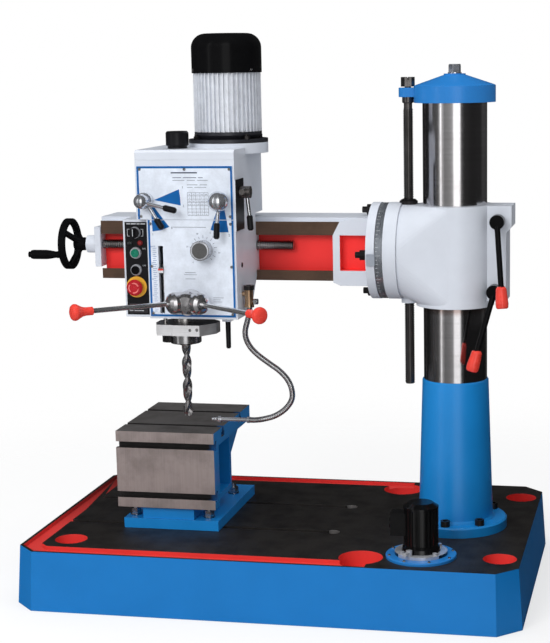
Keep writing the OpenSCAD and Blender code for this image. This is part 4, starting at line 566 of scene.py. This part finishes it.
screw_x, screw_pitch, nut_high, ear_high, neck_high = 313, 6, 22, 23, 30
nut_out, nut_in, slot_floor, nut_top, nut_turn = 17.3, 0.46, 17, 24, 12
low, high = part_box("elevating_screw")
screw_low = low.z * 1000
ear_top = high.z * 1000 - nut_high
ear_bottom = ear_top - ear_high
shape = bmesh.new()
thread(shape, (screw_x, 0, screw_low), (0, 0, 1), ear_bottom - neck_high - screw_low, 10.9, 12.5, screw_pitch)
revolve(shape, [(0, 0), (10.4, 0), (10.4, 6), (0, 6)], (screw_x, 0, screw_low + 0.01), steps=32)
revolve(shape, [(0, -33), (10.5, -33), (10.5, -17), (13.0, -16.5), (14.5, -15), (14.5, -0.9), (13.8, 0),
                (8.0, 0), (8.0, 23), (8.0, 44), (7.2, 45), (0, 45)], (screw_x, 0, ear_bottom), steps=40)


def nut_block(one, two, top, out=1.0):
    """A block of the castle nut on one of its flats, from one corner of its foot to the next."""
    foot = ((one, out), (two, out), (two, nut_in), (one, nut_in))
    corners = [shape.verts.new((screw_x + q.x * k, q.y * k, ear_top + z))
               for z in (0.4, top) for q, k in foot]
    bmesh.ops.convex_hull(shape, input=corners)


for i in range(6):
    w = math.radians(nut_turn + 60 * i)
    left, right = (Matrix.Rotation(w + s, 4, "Z") @ Vector((nut_out, 0, 0)) for s in (0, math.radians(60)))
    for s0, s1 in ((0.0, 0.36), (0.64, 1.0)):
        nut_block(left.lerp(right, s0), left.lerp(right, s1), nut_top)
    nut_block(left.lerp(right, 0.35), left.lerp(right, 0.65), slot_floor, 0.995)
oiled_black = finish("oiled black thread", machined, 0.85, Metal=(96, 93, 92), Stain=(22, 20, 20),
                     Lay=[60.0, 60.0, 300.0], Cut=0.2, Stained=0.6, Polish=0.13)
screw = piece("elevating_screw_cut", "cap", oiled_black, shape, 30)
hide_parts("elevating_screw")


# Sleeve, angle ring and clamps
# A pale casting round the column. The ring between it and the arm is engraved every 5 degrees,
# and the pointer on the arm reads it. Two levers clamp the slit at the back.
white = finish("pale enamel", sprayed, Paint=(209, 214, 223), Chip=(150, 152, 158), Peel=0.07, Gloss=0.30,
               specular=0.4)
ring_grey = finish("etched ring", machined, 0.75, Metal=(160, 166, 174), Stain=(104, 108, 116),
                   Lay=[700.0, 20.0, 20.0], Cut=0.2, Stained=0.4, Polish=0.24)
gloss_black = finish("black enamel", moulded, specular=0.06, Plastic=(14, 14, 15), Grain=0.04, Gloss=0.12)
knob_red = finish("red knob plastic", moulded, Plastic=(226, 66, 54), Grain=0.12, Gloss=0.22)
engraving = finish("white engraving", moulded, Plastic=(206, 210, 214), Grain=0.2, Gloss=0.45)
upper_grip_z, lower_grip_z, grips_y = 787, 629, -100
dress("arm_sleeve", white)
dress("angle_ring", ring_grey)
dress("clamp_studs", black_steel)
dress("elevating_nut", black_steel)
dress("upper_clamp_lever", gloss_black, knob_red,
      choose=lambda p, n: 1 if p.z < upper_grip_z and p.y < grips_y else 0)
dress("lower_clamp_lever", gloss_black, knob_red,
      choose=lambda p, n: 1 if p.z < lower_grip_z and p.y < grips_y else 0)
mark_in, mark_half, mark_sunk, mark_proud = 1.5, 0.45, 0.4, 0.12
low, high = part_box("angle_ring")
ring_r = (high.y - low.y) * 500
ring_z = (low.z + high.z) * 500
mark_x = low.x * 1000 + mark_in
shape = bmesh.new()
for a in range(0, 360, 5):
    long = 11 if a % 30 == 0 else 7.5 if a % 10 == 0 else 5
    turning = Matrix.Rotation(math.radians(a), 4, "X")
    corners = [turning @ Vector((x, y, z)) for x in (mark_x, mark_x + long) for y in (-mark_half, mark_half)
               for z in (ring_r - mark_sunk, ring_r + mark_proud)]
    bmesh.ops.convex_hull(shape, input=[shape.verts.new((c.x, c.y, c.z + ring_z)) for c in corners])
piece("angle_ring_marks", "sleeve", engraving, shape)


# Arm
# A deep casting. Its two slide ways are blackened by oil, the web between them and the pocket
# at its root are red, and the rest is pale.
arm_z, ways_z, between_z = (790, 937), (788, 938.2), (803.5, 915.5)
lips_y, lips_z = -40, (816, 903)
front_y, rib_y, red_z = (-66, -19), -64.8, (800, 918)
ways_end, web_end, pocket_x = 130.4, 129.9, (147, 222)


def arm_face(p, n):
    """0 the paint, 1 the two ways, 2 the red web and pocket."""
    if abs(n.z) > facing and not arm_z[0] <= p.z <= arm_z[1]:
        return 0
    if not front_y[0] < p.y < front_y[1] or p.x >= pocket_x[1]:
        return 0
    if p.x < ways_end and abs(n.x) < facing and ways_z[0] < p.z < ways_z[1]:
        on_lip = p.y < lips_y and not lips_z[0] <= p.z <= lips_z[1]
        if on_lip or not between_z[0] < p.z < between_z[1]:
            return 1
    red_wall = red_z[0] < p.z < red_z[1] and (p.y > rib_y or n.x < -facing)
    return 2 if red_wall and (p.x < web_end or p.x > pocket_x[0]) else 0


ways = finish("blackened ways", machined, 0.4, Metal=(94, 72, 58), Stain=(54, 42, 34),
              Lay=[6.0, 700.0, 700.0], Cut=0.3, Stained=0.5, Polish=0.42)
red = finish("red enamel", sprayed, specular=0.3, Paint=(252, 58, 56), Chip=(120, 30, 28), Peel=0.35,
             Gloss=0.34)
pointer_paint = finish("pointer", machined, 0.5, Metal=(176, 184, 196), Stain=(140, 146, 156),
                       Lay=[40.0, 40.0, 40.0], Cut=0.1, Stained=0.4, Polish=0.3)
dress("arm_casting", white, ways, red, choose=arm_face)
dress("arm_flange_bolts", black_steel)
dress("tilt_pointer", pointer_paint)
dress("end_bracket", white)


# Traverse screw and handwheel
# The bright screw that moves the head along the arm, with 6 mm pitch, and a black cast wheel
# with three spokes and a turning grip. The screw's plain journal runs in the end bracket.
journal_long, core_r, core_long = 66, 11.0, 6
low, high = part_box("traverse_screw")
length = high.x * 1000 - low.x * 1000 - journal_long
place = (low.x * 1000 + journal_long, (low.y + high.y) * 500, (low.z + high.z) * 500)
shape = bmesh.new()
thread(shape, place, (1, 0, 0), length, 11.5, 13.0, screw_pitch)
for outline in ([(0, -journal_long), (6.5, -journal_long), (7.8, 1.5 - journal_long), (7.8, 0), (0, 0)],
                [(0, length - core_long), (core_r, length - core_long), (core_r, length - 0.02),
                 (0, length - 0.02)],
                [(0, 0.02), (core_r, 0.02), (core_r, core_long), (0, core_long)]):
    revolve(shape, outline, place, (1, 0, 0), steps=32)
lead_steel = finish("bright lead screw", machined, 1.0, Metal=(188, 184, 182), Stain=(70, 66, 64),
                    Lay=[300.0, 60.0, 60.0], Cut=0.2, Stained=0.6, Polish=0.14)
screw = piece("traverse_screw_cut", "screw_and_wheel", lead_steel, shape, 30)
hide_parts("traverse_screw")
dress("handwheel", gloss_black)
dress("handwheel_grip", gloss_black)


# Head casting
# Two pale boxes with their gears inside and a separate cover, held with socket screws. A black
# pad behind the side lever and an oil level plug are on its right side.
black = finish("black plastic", moulded, specular=0.2, Plastic=(24, 24, 26), Grain=0.3, Gloss=0.30)
cast_black = finish("black painted iron", sprayed, Paint=(40, 41, 46), Chip=(92, 88, 86), Peel=0.5,
                    Gloss=0.36)
brass = finish("turned brass", machined, 1.0, Metal=(216, 182, 146), Stain=(128, 96, 72),
               Lay=[40.0, 40.0, 800.0], Cut=0.4, Stained=0.6, Polish=0.26)
side_x, pad_y, pad_z = -68, -178, (930, 1058)
cover_screws_z = 1110
dress("head_casting", white, black,
      choose=lambda p, n: 1 if p.x > side_x + 0.1 and p.y < pad_y and pad_z[0] < p.z < pad_z[1] else 0)
dress("head_cover", white)
dress("head_screws", bright_steel, black_steel, choose=lambda p, n: 1 if p.z > cover_screws_z else 0)
dress("motor_flange", cast_black)
dress("traverse_nut", brass)
shape = bmesh.new()
revolve(shape, [(0, 0.4), (3.2, 0.4), (3.6, 1.4), (6.0, 1.2), (6.4, -0.4)], (side_x, -205.6, 844.9),
        (1, 0, 0), steps=28)
piece("oil_level_plug", "head", black, shape)


# Front plates
# Two printed aluminium plates: a blue frame round both, blue wedges under the gear levers, a
# speed table, and the depth scale beside its slot. The prints stand a hair proud of the metal.
plate_metal = finish("printed plate", machined, 0.08, Metal=(224, 231, 242), Stain=(210, 217, 230),
                     Lay=[40.0, 40.0, 40.0], Cut=0.03, Stained=0.14, Polish=0.30)
plate_blue = finish("blue print", moulded, specular=0.3, Plastic=(8, 92, 160), Grain=0.1, Gloss=0.36)
ink = finish("dark print", moulded, Plastic=(70, 78, 98), Grain=0.1, Gloss=0.4)
red_ink = finish("red print", moulded, Plastic=(206, 60, 50), Grain=0.1, Gloss=0.4)
depth_slot_x, depth_slot_z = (-266, -250), (728, 898)


def lower_plate_face(p, n):
    """1 for the black walls of the depth scale's slot."""
    in_slot = depth_slot_x[0] < p.x < depth_slot_x[1] and depth_slot_z[0] < p.z < depth_slot_z[1]
    return 1 if in_slot and abs(n.y) < facing else 0


dress("upper_plate", plate_metal)
dress("lower_plate", plate_metal, black, choose=lower_plate_face)
upper_low, upper_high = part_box("upper_plate")
lower_low, lower_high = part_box("lower_plate")
face_y = upper_low.y * 1000


def slab(shape, points, back=0.25, proud=0.12, y=face_y):
    """A printed patch: (x, z) points, a hair proud of the plate's front."""
    backs = [shape.verts.new((x, y + back, z)) for x, z in points]
    fronts = [shape.verts.new((x, y - proud, z)) for x, z in points]
    shape.faces.new(fronts)
    shape.faces.new(backs[::-1])
    for i in range(len(points)):
        j = (i + 1) % len(points)
        shape.faces.new((fronts[i], fronts[j], backs[j], backs[i]))


def bar(shape, x, z, wide, high, y=face_y):
    """A printed upright oblong, from its lower left corner."""
    slab(shape, [(x, z), (x + wide, z), (x + wide, z + high), (x, z + high)], y=y)


def arc(x, z, r, start, end, steps=6):
    """Points of an arc round (x, z), from start to end in degrees."""
    return [(x + r * math.cos(math.radians(start + (end - start) * i / steps)),
             z + r * math.sin(math.radians(start + (end - start) * i / steps))) for i in range(steps + 1)]


def frame_of(shape, x0, x1, z0, z1, flip):
    """A printed frame on three sides of a plate, with rounded inner corners."""
    wide, r = 5.2, 7
    outside = [(x0, z0), (x0, z1), (x1, z1), (x1, z0)]
    inside = [(x1 - wide, z0)] + arc(x1 - wide - r, z1 - wide - r, r, 0, 90) \
        + arc(x0 + wide + r, z1 - wide - r, r, 90, 180) + [(x0 + wide, z0)]
    slab(shape, [(x, z0 + z1 - z if flip else z) for x, z in outside + inside])


margin, joint_gap = 0.5, 0.3
right_edge = upper_high.x * 1000 - margin
wedges = [[(-270.3, 1007.9), (-206.7, 1033.9), (-204.2, 1014), (-203.3, 994.6)],
          [(-279.6, 989.7), (-270, 989.9), (-248.5, 961.0), (-278.0, 961.0)],
          [(-278.2, 959.0), (-246.9, 959.0), (-233.8, 942.7), (-255, 934.5), (-277.0, 931.5)],
          [(-113.6, 981.8), (-94.3, 986.7), (-89.5, 961.0), (-121.6, 961.0)],
          [(-122.2, 959.0), (-89.2, 959.0), (-85.2, 930.4), (-107, 930.4), (-130.5, 935.9)]]
scale_x, scale_short, scale_long, scale_thick = -278.5, 7, 9.7, 0.9
scale_z = range(735, 897, 5)
shape = bmesh.new()
frame_of(shape, upper_low.x * 1000 + margin, right_edge, upper_low.z * 1000 + joint_gap,
         upper_high.z * 1000 - margin, False)
frame_of(shape, lower_low.x * 1000 + margin, right_edge, lower_low.z * 1000 + margin,
         lower_high.z * 1000 - joint_gap, True)
for wedge in wedges:
    slab(shape, wedge)
for z in scale_z:
    bar(shape, scale_x, z, scale_short if z % 2 else scale_long, scale_thick)
piece("plate_blue_print", "head", plate_blue, shape)

# The table of speeds and feeds, from its top row down; an empty row stands below the fourth.
speeds = [("75", "125", "210", "320", "480"), ("I", "I", "I", "II", "II"),
          ("600", "820", "1130", "1600", "2200"), ("0.10", "0.16", "0.20", "0.25", "0.32"),
          ("1", "2", "1", "2", "1"), ("6", "10", "16", "25", "32")]
cell_wide, cell_high, line_thick = 10.4, 7.86, 0.7
chart_x, chart_low, chart_wide, chart_tall = -186, 970.5, 52.7, 55.7
dial_x, dial_z, dial_from, dial_to, dial_step, figures_r = -150, 888, -140, 140, 20, 41
rows = len(speeds) + 1
shape = bmesh.new()
for i in range(len(speeds[0]) + 1):
    bar(shape, chart_x + i * cell_wide, chart_low, line_thick, chart_tall)
for i in range(rows + 1):
    bar(shape, chart_x, chart_low + i * cell_high, chart_wide, line_thick)
for a in range(dial_from, dial_to + 1, dial_step):
    w = math.radians(90 - a)
    start, end = 27.5, 32.5 if a % 40 else 35
    side = (0.45 * math.sin(w), -0.45 * math.cos(w))
    slab(shape, [(dial_x + q * math.cos(w) + s * side[0], dial_z + q * math.sin(w) + s * side[1])
                 for q, s in ((start, -1), (start, 1), (end, 1), (end, -1))])
# Lines under the figures, and plain bars in place of text: left, foot, width, height.
text_bars = [(-224.8, 941.7, 83.4, 1), (-198, 831, 27, 1), (-197, 815.6, 25, 1), (-226, 1072, 66, 3.2),
             (-222, 1061, 22, 1.6), (-196, 1061, 34, 1.6), (-158, 1061, 12, 1.6), (-222, 1055, 30, 1.0),
             (-186, 1055, 20, 1.0), (-160, 1055, 26, 1.0), (-186, 1044, 26, 1.2), (-154, 1044, 18, 1.2),
             (-186, 1038, 14, 0.9), (-168, 1038, 30, 0.9), (-128, 770, 26, 0.9), (-128, 765, 18, 0.9),
             (-128, 760, 22, 0.9), (-200, 826, 32, 0.8)]
for x, z, wide, thick in text_bars:
    bar(shape, x, z, wide, thick)
piece("plate_dark_print", "head", ink, shape)


def wording(name, words, x, z, size, material, y=face_y, align="LEFT"):
    """Printed figures standing on a front plate."""
    curve = bpy.data.curves.new(name, "FONT")
    curve.body = words
    curve.size = size / 1000
    curve.extrude = 0.00012
    curve.align_x = align
    curve.resolution_u = 2
    text = bpy.data.objects.new(name, curve)
    scene.collection.objects.link(text)
    stand_up = Matrix.Rotation(math.radians(90), 4, "X")
    text.matrix_world = Matrix.Translation((x / 1000, y / 1000, z / 1000)) @ stand_up
    bpy.context.view_layer.update()
    mesh = bpy.data.meshes.new_from_object(text)
    mesh.transform(text.matrix_world)
    bpy.data.objects.remove(text)
    mesh.materials.clear()
    mesh.materials.append(material)
    made = bpy.data.objects.new(name, mesh)
    scene.collection.objects.link(made)
    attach(made, "head")


for i, row in enumerate(speeds):
    row_z = chart_low + 1.9 + (rows - 1 - i - (i > 3)) * cell_high
    for j, figure in enumerate(row):
        cell_x = chart_x + cell_wide / 2 + j * cell_wide
        wording("speed_figure_%d_%d" % (i, j), figure, cell_x, row_z, 4.0, ink, align="CENTER")
for name, words, x, z in (("upper_range_one", "1", -199.5, 1036), ("upper_range_two", "2", -198.5, 991),
                          ("lower_range_one", "I", -277.5, 921.5), ("lower_range_two", "II", -229.5, 938),
                          ("feed_in", "1", -133.5, 926), ("feed_out", "2", -86.0, 920.5)):
    wording(name, words, x, z, 8, ink)
for i, z in enumerate(scale_z[::8]):
    wording("depth_figure_%d" % i, str(i * 20), -282.6, z - 2.0, 4.2, plate_blue)
for i in range(5):
    w = math.radians(90 - dial_from - 60 * i)
    x, z = dial_x + figures_r * math.cos(w), dial_z - 2 + figures_r * math.sin(w)
    wording("dial_figure_%d" % i, str(i * 20), x, z, 5.4, ink, align="CENTER")


# Depth pointer
# A red and white flag, seen through the lower plate's slot. It is painted on the thin plate of
# the depth rod, and moves with the quill.
def box(shape, low, high):
    """A block from its two corners."""
    low, high = Vector(low), Vector(high)
    place = Matrix.Translation((low + high) / 2) @ Matrix.Diagonal(high - low).to_4x4()
    bmesh.ops.create_cube(shape, size=1, matrix=place)


pointer_x = (-264.6, -251.6)
pointer_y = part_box("depth_clamp")[0].y * 1000
for name, low_z, high_z, paint, slot in (("depth_pointer_white", 830.5, 836.4, engraving, "plate_aluminium"),
                                         ("depth_pointer_red", 836.5, 841.0, red_ink, "red_plastic")):
    shape = bmesh.new()
    box(shape, (pointer_x[0], pointer_y - 0.05, low_z), (pointer_x[1], pointer_y + 2.0, high_z))
    piece(name, "quill_unit", paint, shape)


# Levers, dial and capstan
# Chromed balls and rods with black grips; the dial is turned steel; the capstan's hub is dark
# polished steel with red knobs on two arms.
chrome = finish("chromed steel", machined, 1.0, Metal=(226, 228, 232), Stain=(180, 176, 172),
                Lay=[30.0, 30.0, 500.0], Cut=0.05, Stained=0.2, Polish=0.09)
dark_chrome = finish("dark polished steel", machined, 0.92, Metal=(206, 204, 206), Stain=(128, 124, 124),
                     Lay=[60.0, 60.0, 60.0], Cut=0.04, Stained=0.3, Polish=0.11)
rod_steel = finish("polished rods", machined, 0.9, Metal=(232, 232, 234), Stain=(180, 178, 176),
                   Lay=[60.0, 60.0, 60.0], Cut=0.03, Stained=0.2, Polish=0.08)
hub_steel = finish("worn lever hub", machined, 0.8, Metal=(128, 124, 122), Stain=(56, 52, 50),
                   Lay=[60.0, 60.0, 60.0], Cut=0.2, Stained=0.6, Polish=0.16)
dial_face = finish("brushed dial face", machined, 0.8, Metal=(130, 130, 130), Stain=(84, 82, 80),
                   Lay=[300.0, 30.0, 300.0], Cut=0.7, Stained=0.6, Polish=0.34)
high_grip_x, low_grip_z, feed_grip_z, grip_y = -236.5, 963.5, 955.5, -262
side_grip_z, side_hub_z, side_hub_x = 967.5, 1010, -66
hub_x, hub_z, hub_half = -182, 762, 52


def side_lever_face(p, n):
    """0 the hub, 1 the rod, 2 the grip."""
    if p.z > side_hub_z or p.x < side_hub_x:
        return 0
    return 2 if p.z < side_grip_z else 1


dress("high_gear_lever", ball_chrome, black,
      choose=lambda p, n: 1 if p.x > high_grip_x and p.y < grip_y else 0)
dress("low_gear_lever", ball_chrome, black,
      choose=lambda p, n: 1 if p.z < low_grip_z and p.y < grip_y + 4 else 0)
dress("feed_lever", ball_chrome, black,
      choose=lambda p, n: 1 if p.z < feed_grip_z and p.y < grip_y else 0)
dress("side_lever", hub_steel, chrome, black, choose=side_lever_face)
dress("feed_dial", bezel, dial_face, choose=lambda p, n: 1 if n.y < -facing else 0)
dress("capstan_hub", dark_chrome, rod_steel,
      choose=lambda p, n: 0 if abs(p.x - hub_x) < hub_half and abs(p.z - hub_z) < hub_half else 1)
dress("capstan_knobs", knob_red)
dress("quill_lock_lever", black)
low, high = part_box("feed_dial")
middle_x, front, middle_z = (low.x + high.x) * 500, low.y * 1000, (low.z + high.z) * 500
shape = bmesh.new()
revolve(shape, [(18.6, -1.0), (18.9, 0.5), (19.6, 1.0), (21.2, 1.0), (22.6, 0.2), (22.8, -1.0)],
        (middle_x, front, middle_z), (0, -1, 0))
piece("dial_rim", "dial", bezel, shape)
shape = bmesh.new()
box(shape, (middle_x - 0.5, front - 1.15, middle_z + 18.8), (middle_x + 0.5, front - 0.6, middle_z + 22.4))
piece("dial_line", "dial", ink, shape)


# Control box
# A pale sheet box with a black front: selector, two lamps, start and stop buttons in bright
# bezels, and a red mushroom on a yellow disc.
button_green = finish("green button", moulded, Plastic=(14, 112, 88), Grain=0.1, Gloss=0.24)
mushroom_red = finish("mushroom red", moulded, Plastic=(176, 24, 36), Grain=0.1, Gloss=0.24)
ring_yellow = finish("yellow ring", moulded, Plastic=(238, 178, 58), Grain=0.2, Gloss=0.34)
lamp_dark = finish("dark lamp lens", moulded, Plastic=(30, 34, 34), Grain=0.05, Gloss=0.12)
lamp_red = finish("red lamp lens", moulded, Plastic=(120, 26, 26), Grain=0.05, Gloss=0.12)
rating = finish("rating plate", machined, 0.4, Metal=(60, 58, 62), Stain=(34, 34, 38),
                Lay=[8.0, 8.0, 600.0], Cut=0.4, Stained=0.6, Polish=0.3)
arrow_pink = finish("moulded arrows", moulded, Plastic=(226, 120, 116), Grain=0.1, Gloss=0.3)
panel_y, middle_x, plate_top_z = -237.0, -329, 755
selector_z, lamps_z, start_z, stop_z, mushroom_z = 926, 901, 876, 834, 792
bezel_r, yellow_r, lamp_half = 16, 28.5, 9


def panel_face(p, n):
    """0 the panel, 1 bezels, 2 the yellow disc, 3 and 4 the lamps, 5 the plate at the foot."""
    if p.y < panel_y - 0.2:
        if math.hypot(p.x - middle_x - 2, p.z - mushroom_z) < yellow_r:
            return 2
        if abs(p.z - lamps_z) < lamp_half:
            return 4 if p.x > middle_x + 3 else 3
        if min(math.hypot(p.x - middle_x, p.z - z) for z in (selector_z, start_z, stop_z)) < bezel_r:
            return 1
    return 5 if p.y < panel_y - 0.9 and p.z < plate_top_z else 0


dress("control_box", white)
dress("control_panel", black, bezel, ring_yellow, lamp_dark, lamp_red, rating, choose=panel_face)
dress("selector_switch", black)
dress("start_button", button_green)
dress("stop_button", gloss_black)
dress("emergency_stop", mushroom_red)
# Plain bars over and under the operators and a bracket each side: left, foot, width, height.
panel_bars = [(-350, 946.5, 9, 2.2), (-339, 946.5, 13, 2.2), (-324, 946.5, 8, 2.2), (-314, 946.5, 12, 2.2),
              (-349, 917, 1, 18), (-349, 934, 6, 1), (-349, 917, 6, 1), (-309, 917, 1, 18),
              (-314, 934, 6, 1), (-314, 917, 6, 1), (-349.5, 744, 14, 1.2), (-333, 744, 20, 1.2),
              (-349.5, 738, 20, 1.2), (-326, 738, 14, 1.2), (-349.5, 732, 9, 1.2), (-337, 732, 24, 1.2)]
shape = bmesh.new()
for x, z, wide, high in panel_bars:
    bar(shape, x, z, wide, high, panel_y - (1 if z < plate_top_z else 0))
piece("panel_print", "head", engraving, shape)
wording("start_word", "ON", -311.5, 885, 5.2, engraving, panel_y)
wording("stop_word", "OFF", -312.5, 843, 5.2, engraving, panel_y)
shape = bmesh.new()
box(shape, (middle_x - 0.7, -256.25, 919), (middle_x + 0.7, -255.6, 936))
piece("selector_line", "selector", engraving, shape)
arrow_r, arrow_half, arrow_turn = 12, 1.4, 74
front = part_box("emergency_stop")[0].y * 1000
shape = bmesh.new()
for a in (20, 140, 260):
    outer = arc(middle_x, mushroom_z, arrow_r + arrow_half, a, a + arrow_turn, 10)
    inner = arc(middle_x, mushroom_z, arrow_r - arrow_half, a + arrow_turn, a, 10)
    w = math.radians(a + arrow_turn + 22)
    head = (middle_x + arrow_r * math.cos(w), mushroom_z + arrow_r * math.sin(w))
    slab(shape, outer + [head] + inner, back=3.4, proud=0.0, y=front + 0.02)
piece("mushroom_arrows", "mushroom", arrow_pink, shape)


# Motor and breather
# A cast aluminium body with upright fins and a black fan cover, which three screws hold; the
# breather is a black ribbed cap. The gears that the motor drives are turned and cut steel.
cast_aluminium = finish("cast aluminium", machined, 0.2, Metal=(228, 231, 237), Stain=(176, 179, 188),
                        Lay=[60.0, 60.0, 60.0], Cut=0.6, Stained=0.12, Polish=0.34)
dress("motor_housing", cast_aluminium)
dress("fan_cover", gloss_black)
dress("rotor", bright_steel)
dress("cooling_fan", black)
dress("idler_gear", bright_steel)
dress("spindle_gear", bright_steel)
dress("breather_cap", black)
low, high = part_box("fan_cover")
cover_screw_z = low.z * 1000 + 7
cover_r = (high.x - low.x) * 500
shape = bmesh.new()
for a in (-148, -30, 90):
    outward = Vector((math.cos(math.radians(a)), math.sin(math.radians(a)), 0))
    place = Vector(((low.x + high.x) * 500, (low.y + high.y) * 500, cover_screw_z)) + outward * cover_r
    revolve(shape, [(0, 1.8), (2.6, 1.5), (4.0, 0.3), (4.0, -0.8)], place, outward, steps=20)
piece("fan_cover_screws", "head", bright_steel, shape)


# Spindle, quill and drill
# The turned quill slides in the head and carries a polished ring nut and the pale clamp of the
# depth rod. The ground twist drill has two flutes, two lands and a flat cone for its point.
ring_steel = finish("polished ring", machined, 0.95, Metal=(196, 196, 198), Stain=(110, 106, 104),
                    Lay=[20.0, 20.0, 900.0], Cut=0.2, Stained=0.4, Polish=0.14)
clamp_pale = finish("milled clamp", machined, 0.2, Metal=(226, 226, 227), Stain=(176, 175, 174),
                    Lay=[8.0, 8.0, 500.0], Cut=0.3, Stained=0.4, Polish=0.34)
# The clamp's right side is a darker copy of its pale front: painted shade.
clamp_shade_side = finish("clamp side in painted shade", machined, 0.35, Metal=(168, 168, 168), Stain=(110, 108, 106),
                    Lay=[8.0, 8.0, 500.0], Cut=0.5, Stained=0.5, Polish=0.40)
drill_steel = finish("ground drill", machined, 0.9, Metal=(164, 162, 163), Stain=(96, 93, 91),
                     Lay=[200.0, 200.0, 40.0], Cut=0.2, Stained=0.4, Polish=0.24)
ring_left, ring_low, clamp_top = -246, 652, 701


def wrap(shape, rings):
    """The skin between rings of equally many points, one ring after the other."""
    for one, two in zip(rings, rings[1:]):
        for i in range(len(one)):
            j = (i + 1) % len(one)
            shape.faces.new((one[i], one[j], two[j], two[i]))


def clamp_face(p, n):
    """0 the clamp's front, 1 its top, black as painted shade, 2 the rod above, 3 its right side, painted
    shade.
    """
    if p.z > clamp_top:
        return 2
    if n.z > facing:
        return 1
    return 3 if n.x > 0.4 else 0


dress("quill", bright_steel)
dress("quill_ring_nut", black_steel, ring_steel,
      choose=lambda p, n: 1 if abs(n.z) < 0.3 and p.x > ring_left and p.z > ring_low else 0)
# The clamp's top is black: painted shade of the gap under the head.
dress("depth_clamp", clamp_pale, black_steel, bright_steel, clamp_shade_side, choose=clamp_face)
dress("spindle", bright_steel)
low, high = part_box("twist_drill")
drill_x, drill_y, drill_r = (low.x + high.x) * 500, (low.y + high.y) * 500, (high.x - low.x) * 500
point_high, fluted, twist, sides, levels = 7.2, 196, 118, 48, 120
land_turn, body_turn, body_r, flute_r, flute_deep = 8, 66, 0.94, 0.97, 0.66
point_z, drill_top = low.z * 1000, high.z * 1000 - 0.1
shank_z = point_z + fluted
shape = bmesh.new()
rings = []
for k in range(levels + 1):
    z = point_z + point_high + (shank_z - point_z - point_high) * k / levels
    run_out = min(1.0, (levels - k) / 9)
    ring = []
    for i in range(sides):
        a = 360 / sides * i % 180
        if a < land_turn:
            r = 1.0
        elif a < body_turn:
            r = body_r
        else:
            across_flute = math.sin(math.pi * (a - body_turn) / (180 - body_turn)) ** 0.75
            r = flute_r - flute_deep * run_out * across_flute
        w = math.tau * (i / sides + z / twist)
        drop = point_high - r * drill_r * 0.6 if k == 0 else 0
        ring.append(shape.verts.new((drill_x + r * drill_r * math.cos(w), drill_y + r * drill_r * math.sin(w),
                                     z - drop)))
    rings.append(ring)
wrap(shape, rings)
tip = shape.verts.new((drill_x, drill_y, point_z))
for i in range(sides):
    shape.faces.new((tip, rings[0][(i + 1) % sides], rings[0][i]))
revolve(shape, [(0, shank_z - 6), (drill_r - 0.8, shank_z - 6), (drill_r - 0.8, drill_top), (0, drill_top)],
        (drill_x, drill_y, 0), steps=40)
cutter = piece("fluted_drill", "drill_spindle", drill_steel, shape, 28)
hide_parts("twist_drill")


# Coolant tap and hose
# A brass tap under the head's right side feeds a jointed metal hose that keeps its shape, with
# a bright nozzle. The hose is turned ring by ring along its centre line.
hose_steel = finish("jointed hose steel", machined, 0.95, Metal=(204, 204, 206), Stain=(120, 118, 118),
                    Lay=[120.0, 120.0, 120.0], Cut=0.1, Stained=0.4, Polish=0.13)
tap_flange_z = 784.9
dress("coolant_tap", brass, black_steel, choose=lambda p, n: 1 if p.z > tap_flange_z else 0)
dress("coolant_tap_handle", chrome)
hose_y, hose_r, joints = -206, 7.2, 110
round_hose = [math.tau * k / 20 for k in range(20)]
joint_dips, plain_end, straight_end = (0.0, 0.1, 0.8, 0.3), 0.012, 0.02
centre_line = [(-52, 745), (-52, 730), (-58, 706), (-64, 682), (-62, 661), (-51, 640), (-32, 621),
               (-6, 602), (21, 583), (41, 561), (51, 536), (50, 511), (33, 487), (6, 469), (-24, 460),
               (-44, 457), (-58, 457)]


def along(t):
    """The hose's centre at t, 0 at the tap and 1 at the nozzle, in x and z."""
    n = len(centre_line) - 1
    i = min(n - 1, int(t * n))
    f = t * n - i
    p0, p1, p2, p3 = (Vector(centre_line[max(0, min(n, k))]) for k in (i - 1, i, i + 1, i + 2))
    return 0.5 * (2 * p1 + (p2 - p0) * f + (2 * p0 - 5 * p1 + 4 * p2 - p3) * f * f
                  + (3 * p1 - p0 - 3 * p2 + p3) * f ** 3)


def heading(t):
    """The hose's direction at t: straight down at the tap, straight left at the nozzle."""
    if t < straight_end or t > 1 - straight_end:
        return Vector((0, -1)) if t < 0.5 else Vector((-1, 0))
    return (along(t + 0.004) - along(t - 0.004)).normalized()


shape = bmesh.new()
rings = []
for i in range(joints * 4 + 1):
    t = i / (joints * 4)
    dip = joint_dips[i % 4] if plain_end < t < 1 - plain_end else 0.0
    p, d, r = along(t), heading(t), hose_r - dip
    rings.append([shape.verts.new((p.x - d.y * r * math.cos(a), hose_y + r * math.sin(a),
                                   p.y + d.x * r * math.cos(a))) for a in round_hose])
wrap(shape, rings)
shape.faces.new(rings[0])
shape.faces.new(rings[-1])
hose = piece("gooseneck_hose", "head", hose_steel, shape, 60)
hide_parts("coolant_hose")
nozzle_x, nozzle_z = centre_line[-1]
shape = bmesh.new()
nozzle_outline = [(2.2, 98), (2.2, -6), (3.6, -6), (3.6, 0), (7.2, 0), (8, 0.8), (8, 6.2), (7.4, 7),
                  (5.4, 9), (5.2, 12), (5.2, 70), (5.6, 72), (8.0, 73), (8.5, 73.8), (8.5, 79.4), (7.8, 80.4),
                  (5.2, 84), (4.6, 90), (4, 97.4), (3.6, 98), (2.2, 98)]
revolve(shape, nozzle_outline, (nozzle_x, hose_y, nozzle_z), (-1, 0, 0), steps=32)
nozzle = piece("hose_nozzle", "head", ball_chrome, shape)
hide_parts("coolant_hose")
